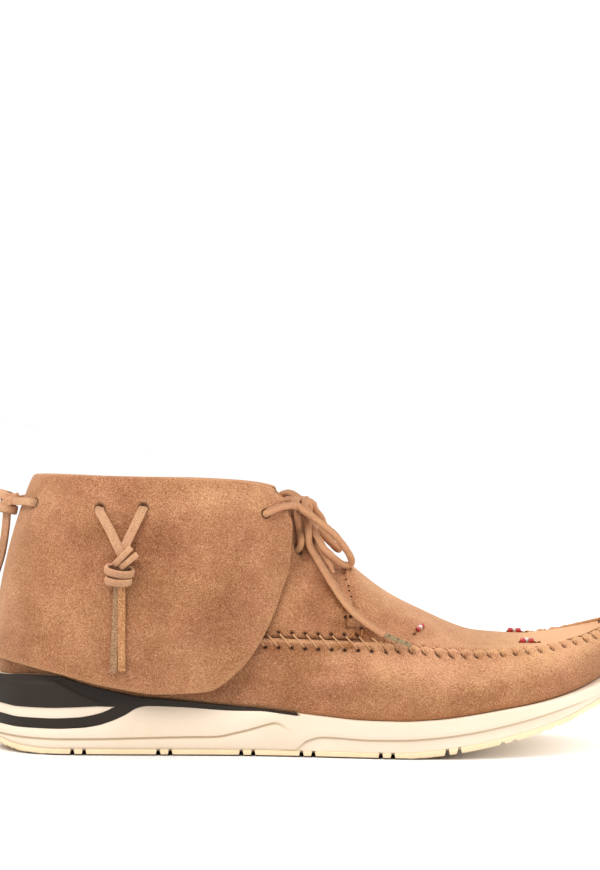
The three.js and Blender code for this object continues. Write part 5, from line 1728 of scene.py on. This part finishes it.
def shaded_core(points, faces, core, depth):
    """Painted shade on the lower sides of a tassel, and on its core, the last part, painted dark as the shade
    between the wraps.
    """
    dark = underside_painted_shade(points, faces, depth)
    dark[-len(core[0]):] = CORE_PAINTED_SHADE
    return dark


def make_side_tassel(side, name):
    """Two straps come out of two holes in the flap, meet in a wrapped knot and hang down as two ends."""
    knot_x, knot_z = SIDE_KNOT
    centre, normal = on_flap(side, knot_x, knot_z, 5.6)
    parts = []
    for i, (x, z) in enumerate(SIDE_TASSEL_HOLES):
        lift = 1.3 if i else 2.4
        start, out = on_flap(side, x, z)
        points = [start - out * (FLAP_WALL + END_BEHIND_FLAP) + vec(0, 0, 0.6), start - out * 0.4]
        for way, drop, rise in ((0.08, 2.2, 0.0), (0.5, 10.5, 0.5), (0.86, 18.5, 2.6)):
            points.append(on_flap(side, x + (knot_x - x) * way, z - drop, lift + rise)[0])
        points.append(centre + vec(0.5 - i, 0, 3.5))
        way = unit(np.gradient(even_line(points, 0.6), axis=0))
        parts.append(strap(points, 4.3, np.cross(way, normal)))
    hang = []
    for i, (x, z) in enumerate(SIDE_ENDS):
        points = [centre + vec((x - knot_x) * 0.45, 0, -4.5)]
        for t in (0.22, 0.5, 0.78, 1.0):
            px = knot_x + (x - knot_x) * (0.55 + 0.45 * t)
            points.append(on_flap(side, px, (knot_z - 9) + (z - knot_z + 9) * t, 1.3 + 0.5 * i)[0])
        twist = np.linspace(0.15, -0.22, len(even_line(points, 0.6)))[:, None] * (1 if i else -1)
        hang.append(strap(points, 3.5, vec(1, 0, 0) + normal * (side * twist)))
    wide = strap_section(3.6, WRAP_THICKNESS)
    narrow = strap_section(2.9, WRAP_THICKNESS)
    core = ball(centre + vec(-0.2, 0, -1.8), (3.6, 2.6, 5.2))
    points, faces = joined_parts(parts + [
        ring_band(centre + vec(-1.4, 0, -7.9), (5.4, 3.0), 4, -20 * side, wide),
        ring_band(centre + vec(-0.9, 0, -3.4), (6.2, 3.8), 8, -22 * side, wide),
        ring_band(centre + vec(0.6, side * 0.7, 3.3), (5.0, 4.0), -46, 0, narrow),
        ring_band(centre + vec(3.2, side * 0.5, 1.0), (4.6, 3.6), -38, 0, narrow),
        core,
    ])
    values = {"dark": shaded_core(points, faces, core, 0.3)}
    make_piece(f"{name}_straps", points, faces, TASSEL_SUEDE, "suede", name, values)
    kinds = np.repeat([1, 0], [len(part[1]) for part in hang])
    suedes = [TASSEL_END_SUEDE, GREY_END_SUEDE]
    make_piece(f"{name}_ends", *joined_parts(hang), suedes, "suede", name, kinds=kinds)


def make_heel_tassel():
    """The tassel behind the heel, held by a strap out of a hole on either side."""
    knot = vec(-144, 0, 116.8)
    drape = [(-145.4, 104), (-147.4, 92), (-150.6, 81), (-152.4, 68)]
    parts = []
    for side in SIDES:
        start, out = on_flap(side, *HEEL_TASSEL_HOLE)
        points = [
            start - out * (FLAP_WALL + END_BEHIND_FLAP), start - out * 0.4,
            start + out * 1.9 + vec(-1.2, 0, 0.2), vec(-139.5, side * 7.5, 117.6),
            knot + vec(0.8, side * 1.5, 0.6),
        ]
        parts.append(strap(points, 3.8, vec(0, 0, 1)))
        points = [knot + vec(-0.6, side * 1.2, -3)]
        points += [vec(x, side * (1.2 + 0.5 * i), z) for i, (x, z) in enumerate(drape)]
        parts.append(strap(points, 3.9, vec(0.9, side * 0.45, 0)))
    wide = strap_section(4.2, WRAP_THICKNESS)
    core = ball(knot, (3.8, 4.0, 5.2))
    points, faces = joined_parts(parts + [
        ring_band(knot + vec(-0.8, 0, -3.0), (4.4, 4.4), 12, 0, wide),
        ring_band(knot + vec(0.6, 0, 0.4), (4.6, 4.8), -28, 0, wide),
        ring_band(knot + vec(-1.0, 0, 3.0), (4.0, 4.2), 18, 0, wide),
        core,
    ])
    dark = shaded_core(points, faces, core, 0.4)
    dark[:-len(core[0])] += 0.25 * falling(96, 112, points[:-len(core[0]), 2])
    make_piece("heel_tassel_straps", points, faces, TASSEL_SUEDE, "suede", "tassel_heel", {"dark": dark})


make_side_tassel(-1, "tassel_lateral")
make_side_tassel(1, "tassel_medial")
make_heel_tassel()

# ---- beads
bead_rows = {
    "beads_vamp": (-1, [(52.2, -29.6), (51.3, -31.3), (50.4, -33.0)]),
    "beads_toe_lateral": (-1, [(100.2, -24), (102.2, -23), (104.2, -24)]),
    "beads_toe_medial": (1, [(96.6, 12), (98.6, 12.8), (100.6, 12)]),
}


# Half of a bead's outline, from its bore over its end to its girth: radius and place along it.
BEAD_PROFILE = [[0.32, 0.0], [0.36, 0.42], [0.62, 0.5], [0.88, 0.38]]


def seed_bead(centre, way, radius, length):
    """A short glass tube with rounded ends and a bore, lying along way."""
    half = np.array(BEAD_PROFILE)
    profile = np.concatenate([half, [[1.0, 0.0]], half[:0:-1] * [1, -1]])
    turn = turns(16)
    side = unit(np.cross(way, [0.0, 0.0, 1.0]))
    other = np.cross(side, way)
    spokes = np.cos(turn)[:, None] * side + np.sin(turn)[:, None] * other
    grid = centre + spokes[:, None] * profile[None, :, :1] * radius + way * profile[None, :, 1:] * length
    return surface(grid, closed_rows=True, closed_columns=True)


def make_beads():
    """Red, white and red glass beads on a thread, with the thread's sewn-in ends."""
    radius = BEAD_DIAMETER * 0.58
    for name, (side, places) in bead_rows.items():
        seats = [on_plug(side, x, y, radius * 0.85) for x, y in places]
        first, middle, last = (seat[0] for seat in seats)
        normal = seats[1][1]
        way = unit(last - first)
        line = [
            first - way * 2.0 - normal * 1.8, first - way * 1.2 - normal * 0.4, first, middle, last,
            last + way * 1.5 - normal * 0.6, last + way * 3.6 - normal * 1.3,
        ]
        parts = [
            seed_bead(first, way, radius, BEAD_DIAMETER * 1.15),
            seed_bead(middle, way, radius, BEAD_DIAMETER * 0.95),
            seed_bead(last, way, radius, BEAD_DIAMETER * 1.15),
            swept(even_line(line, 0.4), round_section(BEAD_THREAD, 8)),
            ball(last + way * 3.8 - normal * 0.9, (0.9, 0.7, 0.7)),
        ]
        kinds = np.repeat([0, 1, 0, 2, 2], [len(part[1]) for part in parts])
        materials = [RED_GLASS, WHITE_GLASS, DARK_THREAD]
        make_piece(f"{name}_glass", *joined_parts(parts), materials, "bead_glass", name, kinds=kinds)


make_beads()


# ---- stitches
REAR_SEAM_START = GATHER_END - 4
STITCH_HOLE = (0.62, 0.56, 0.58)


def seam_place(s, away, lift):
    """A point at an arc length, a distance above (positive) or below the seam, and a height over the face."""
    u = arc_place(s)
    above = 1 + away / (3 * PLUG_REACH * from_seam(u, top_line(u)))
    below = 1 + away / (3 * WALL_REACH * from_seam(u, upper_point(u, 0)))
    v = np.where(away > 0, above, below)
    up = upper_point(u, v) - upper_point(u, v - FACE_STEP)
    along = wrapped_point(u + FACE_STEP, v) - wrapped_point(u - FACE_STEP, v)
    return upper_point(u, v) + unit(np.cross(up, along)) * lift[..., None]


def whip_stitch(s, reach_up, reach_down, shift, rise):
    """One slanted stitch over the seam, its two ends sunk in their holes."""
    t = np.linspace(0, 1, 13)
    away = reach_up - (reach_up + reach_down) * t
    lift = rise * np.sin(np.pi * t) ** 0.6 - 1.0 * falling(0, 0.16, np.minimum(t, 1 - t))
    return seam_place(s - shift * t, away, lift)


def make_stitches():
    """Whip stitches: long over the rear seam, short and sunk between the gathers of the forefoot."""
    rng = np.random.default_rng(7)
    stitches = {"rear_stitches": [], "forefoot_stitches": []}
    for s in np.arange(STITCHES) * PITCH:
        up, down, shift = rng.uniform(-0.25, 0.25, 3)
        if from_toe(s) > REAR_SEAM_START:
            up, down = QUARTER_HOLE_UP - 0.45 + up / 2, WALL_HOLE_DOWN - 0.55 + down / 2
            line = whip_stitch(s - 0.3, up, down, PITCH - 0.6, 1.35)
            stitches["rear_stitches"].append(swept(line, round_section(THREAD_DIAMETER, 8)))
        else:
            line = whip_stitch(s + 2.2, 1.5 + up, SLIT_DOWN - 0.5 + down, 2.2 + shift, 0.75)
            stitches["forefoot_stitches"].append(swept(line, round_section(THREAD_DIAMETER * 0.9, 8)))
    for name, parts in stitches.items():
        make_piece(name, *joined_parts(parts), THREAD, "lace_suede")


def make_stitch_holes():
    """Dark balls in the awl holes that the rear seam's thread goes through, above and below the seam: painted
    shade inside the holes.
    """
    parts = []
    for s in np.arange(STITCHES) * PITCH:
        if from_toe(s) < REAR_SEAM_START:
            continue
        place = min(arc_place(s), TURN - arc_place(s))
        above = quarter_swell(place) if place > QUARTER_START else -0.2
        for away, lift in ((QUARTER_HOLE_UP, above - 0.3), (-WALL_HOLE_DOWN, -0.3)):
            centre = seam_place(np.array([s]), np.array([away]), np.array([lift]))[0]
            parts.append(ball(centre, STITCH_HOLE, around=10, up=6))
    make_piece("stitch_holes", *joined_parts(parts), SUEDE, "suede", values={"dark": 1})


make_stitches()
make_stitch_holes()

# ---- throat stitching
PINHOLES = [(15.0, 86.4), (16.3, 83.6), (17.3, 81.2), (18.2, 78.8), (18.9, 76.4), (19.5, 73.8)]
TACK_HOLES = [(16.6, 64.8), (19.0, 65.0), (24.0, 59.6), (23.6, 54.9)]
TACK_LINES = [
    [(16.8, 64.6), (16.7, 62.4), (16.9, 60.2)],
    [(16.4, 59.9), (20.2, 60.3), (24.2, 59.7)],
    [(20.4, 53.8), (22.4, 54.4), (24.6, 53.6)],
    [(18.4, 58.6), (20.0, 57.0), (20.9, 55.6)],
    [(20.8, 58.4), (20.0, 57.0), (18.9, 55.8)],
    [(24.2, 59.0), (24.3, 57.8), (24.1, 56.6)],
]
TACK_DARK_LINES = 3
FRAYED_ENDS = 12
PINHOLE = (0.42, 0.5, 0.42)
TACK_HOLE = (0.85, 0.7, 0.85)
TACK_DIAMETER = 0.6
FRAY_DIAMETER = 0.5
TONGUE_REACH = 0.7


def on_side(side, x, z, lift):
    """A place on the upper near the throat, in side view, on the quarter or on the plug in front of it."""
    front = QUARTER_START + 0.1 if x < 20 else CROWN_END
    return seat_on(upper_point, side_places(side, front, 13.0), (1.02, 1.98), SIDE_VIEW, (x, z), lift)[0]


def pinhole_place(side, x, z):
    """A place near the tongue seam, in side view: on the tongue, or on the plug ahead of the tongue."""
    this_side = tongue_face[tongue_face[:, 1] * side > 0]
    nearest = this_side[np.argmin(np.hypot(this_side[:, 0] - x, this_side[:, 2] - z))]
    if math.hypot(nearest[0] - x, nearest[2] - z) < TONGUE_REACH:
        return nearest + vec(0, 0.3 * side, 0.1)
    places = side_places(side, CROWN_END, PLUG_END)
    return seat_on(upper_point, places, (1.1, 1.98), SIDE_VIEW, (x, z), 0.2)[0]


def frayed_end(side, rng):
    """A short loose thread that stands off the upper below the throat's corner."""
    x, z = rng.uniform(12.5, 20.5), rng.uniform(50.8, 53.4)
    turn = rng.uniform(-0.9, 0.9)
    y = on_side(side, x, 57.6, 0.0)[1]
    t = np.linspace(-1, 1, 4)
    along = 1.8 * t
    route = vec(x + along * math.cos(turn), y + side * (2.0 + 0.6 * (1 - t * t)), z + along * math.sin(turn))
    return swept(even_line(route, 0.4), round_section(FRAY_DIAMETER, 5))


def make_throat_stitching():
    """Pinholes along the tongue's seam, a small bar tack at the quarter's corner, and frayed threads. The
    pinholes and the tack's holes are dark balls: painted shade inside them.
    """
    rng = np.random.default_rng(11)
    for side, name in zip(SIDES, ("lateral", "medial")):
        dots = [ball(pinhole_place(side, x, z), PINHOLE, around=8, up=6) for x, z in PINHOLES]
        dots += [ball(on_side(side, x, z, 0.75), TACK_HOLE, around=10, up=6) for x, z in TACK_HOLES]
        lines = []
        for line in TACK_LINES:
            route = even_line([on_side(side, x, z, 1.0) for x, z in line], 0.4)
            lines.append(swept(route, round_section(TACK_DIAMETER, 6)))
        frays = lines[TACK_DARK_LINES:] + [frayed_end(side, rng) for _ in range(FRAYED_ENDS)]
        lines = lines[:TACK_DARK_LINES]
        make_piece(f"throat_holes_{name}", *joined_parts(dots), SUEDE, "suede", values={"dark": 1})
        make_piece(f"throat_tack_{name}", *joined_parts(lines), DARK_THREAD, "lace_suede")
        make_piece(f"frayed_thread_{name}", *joined_parts(frays), FRAYED_THREAD, "lace_suede")


make_throat_stitching()
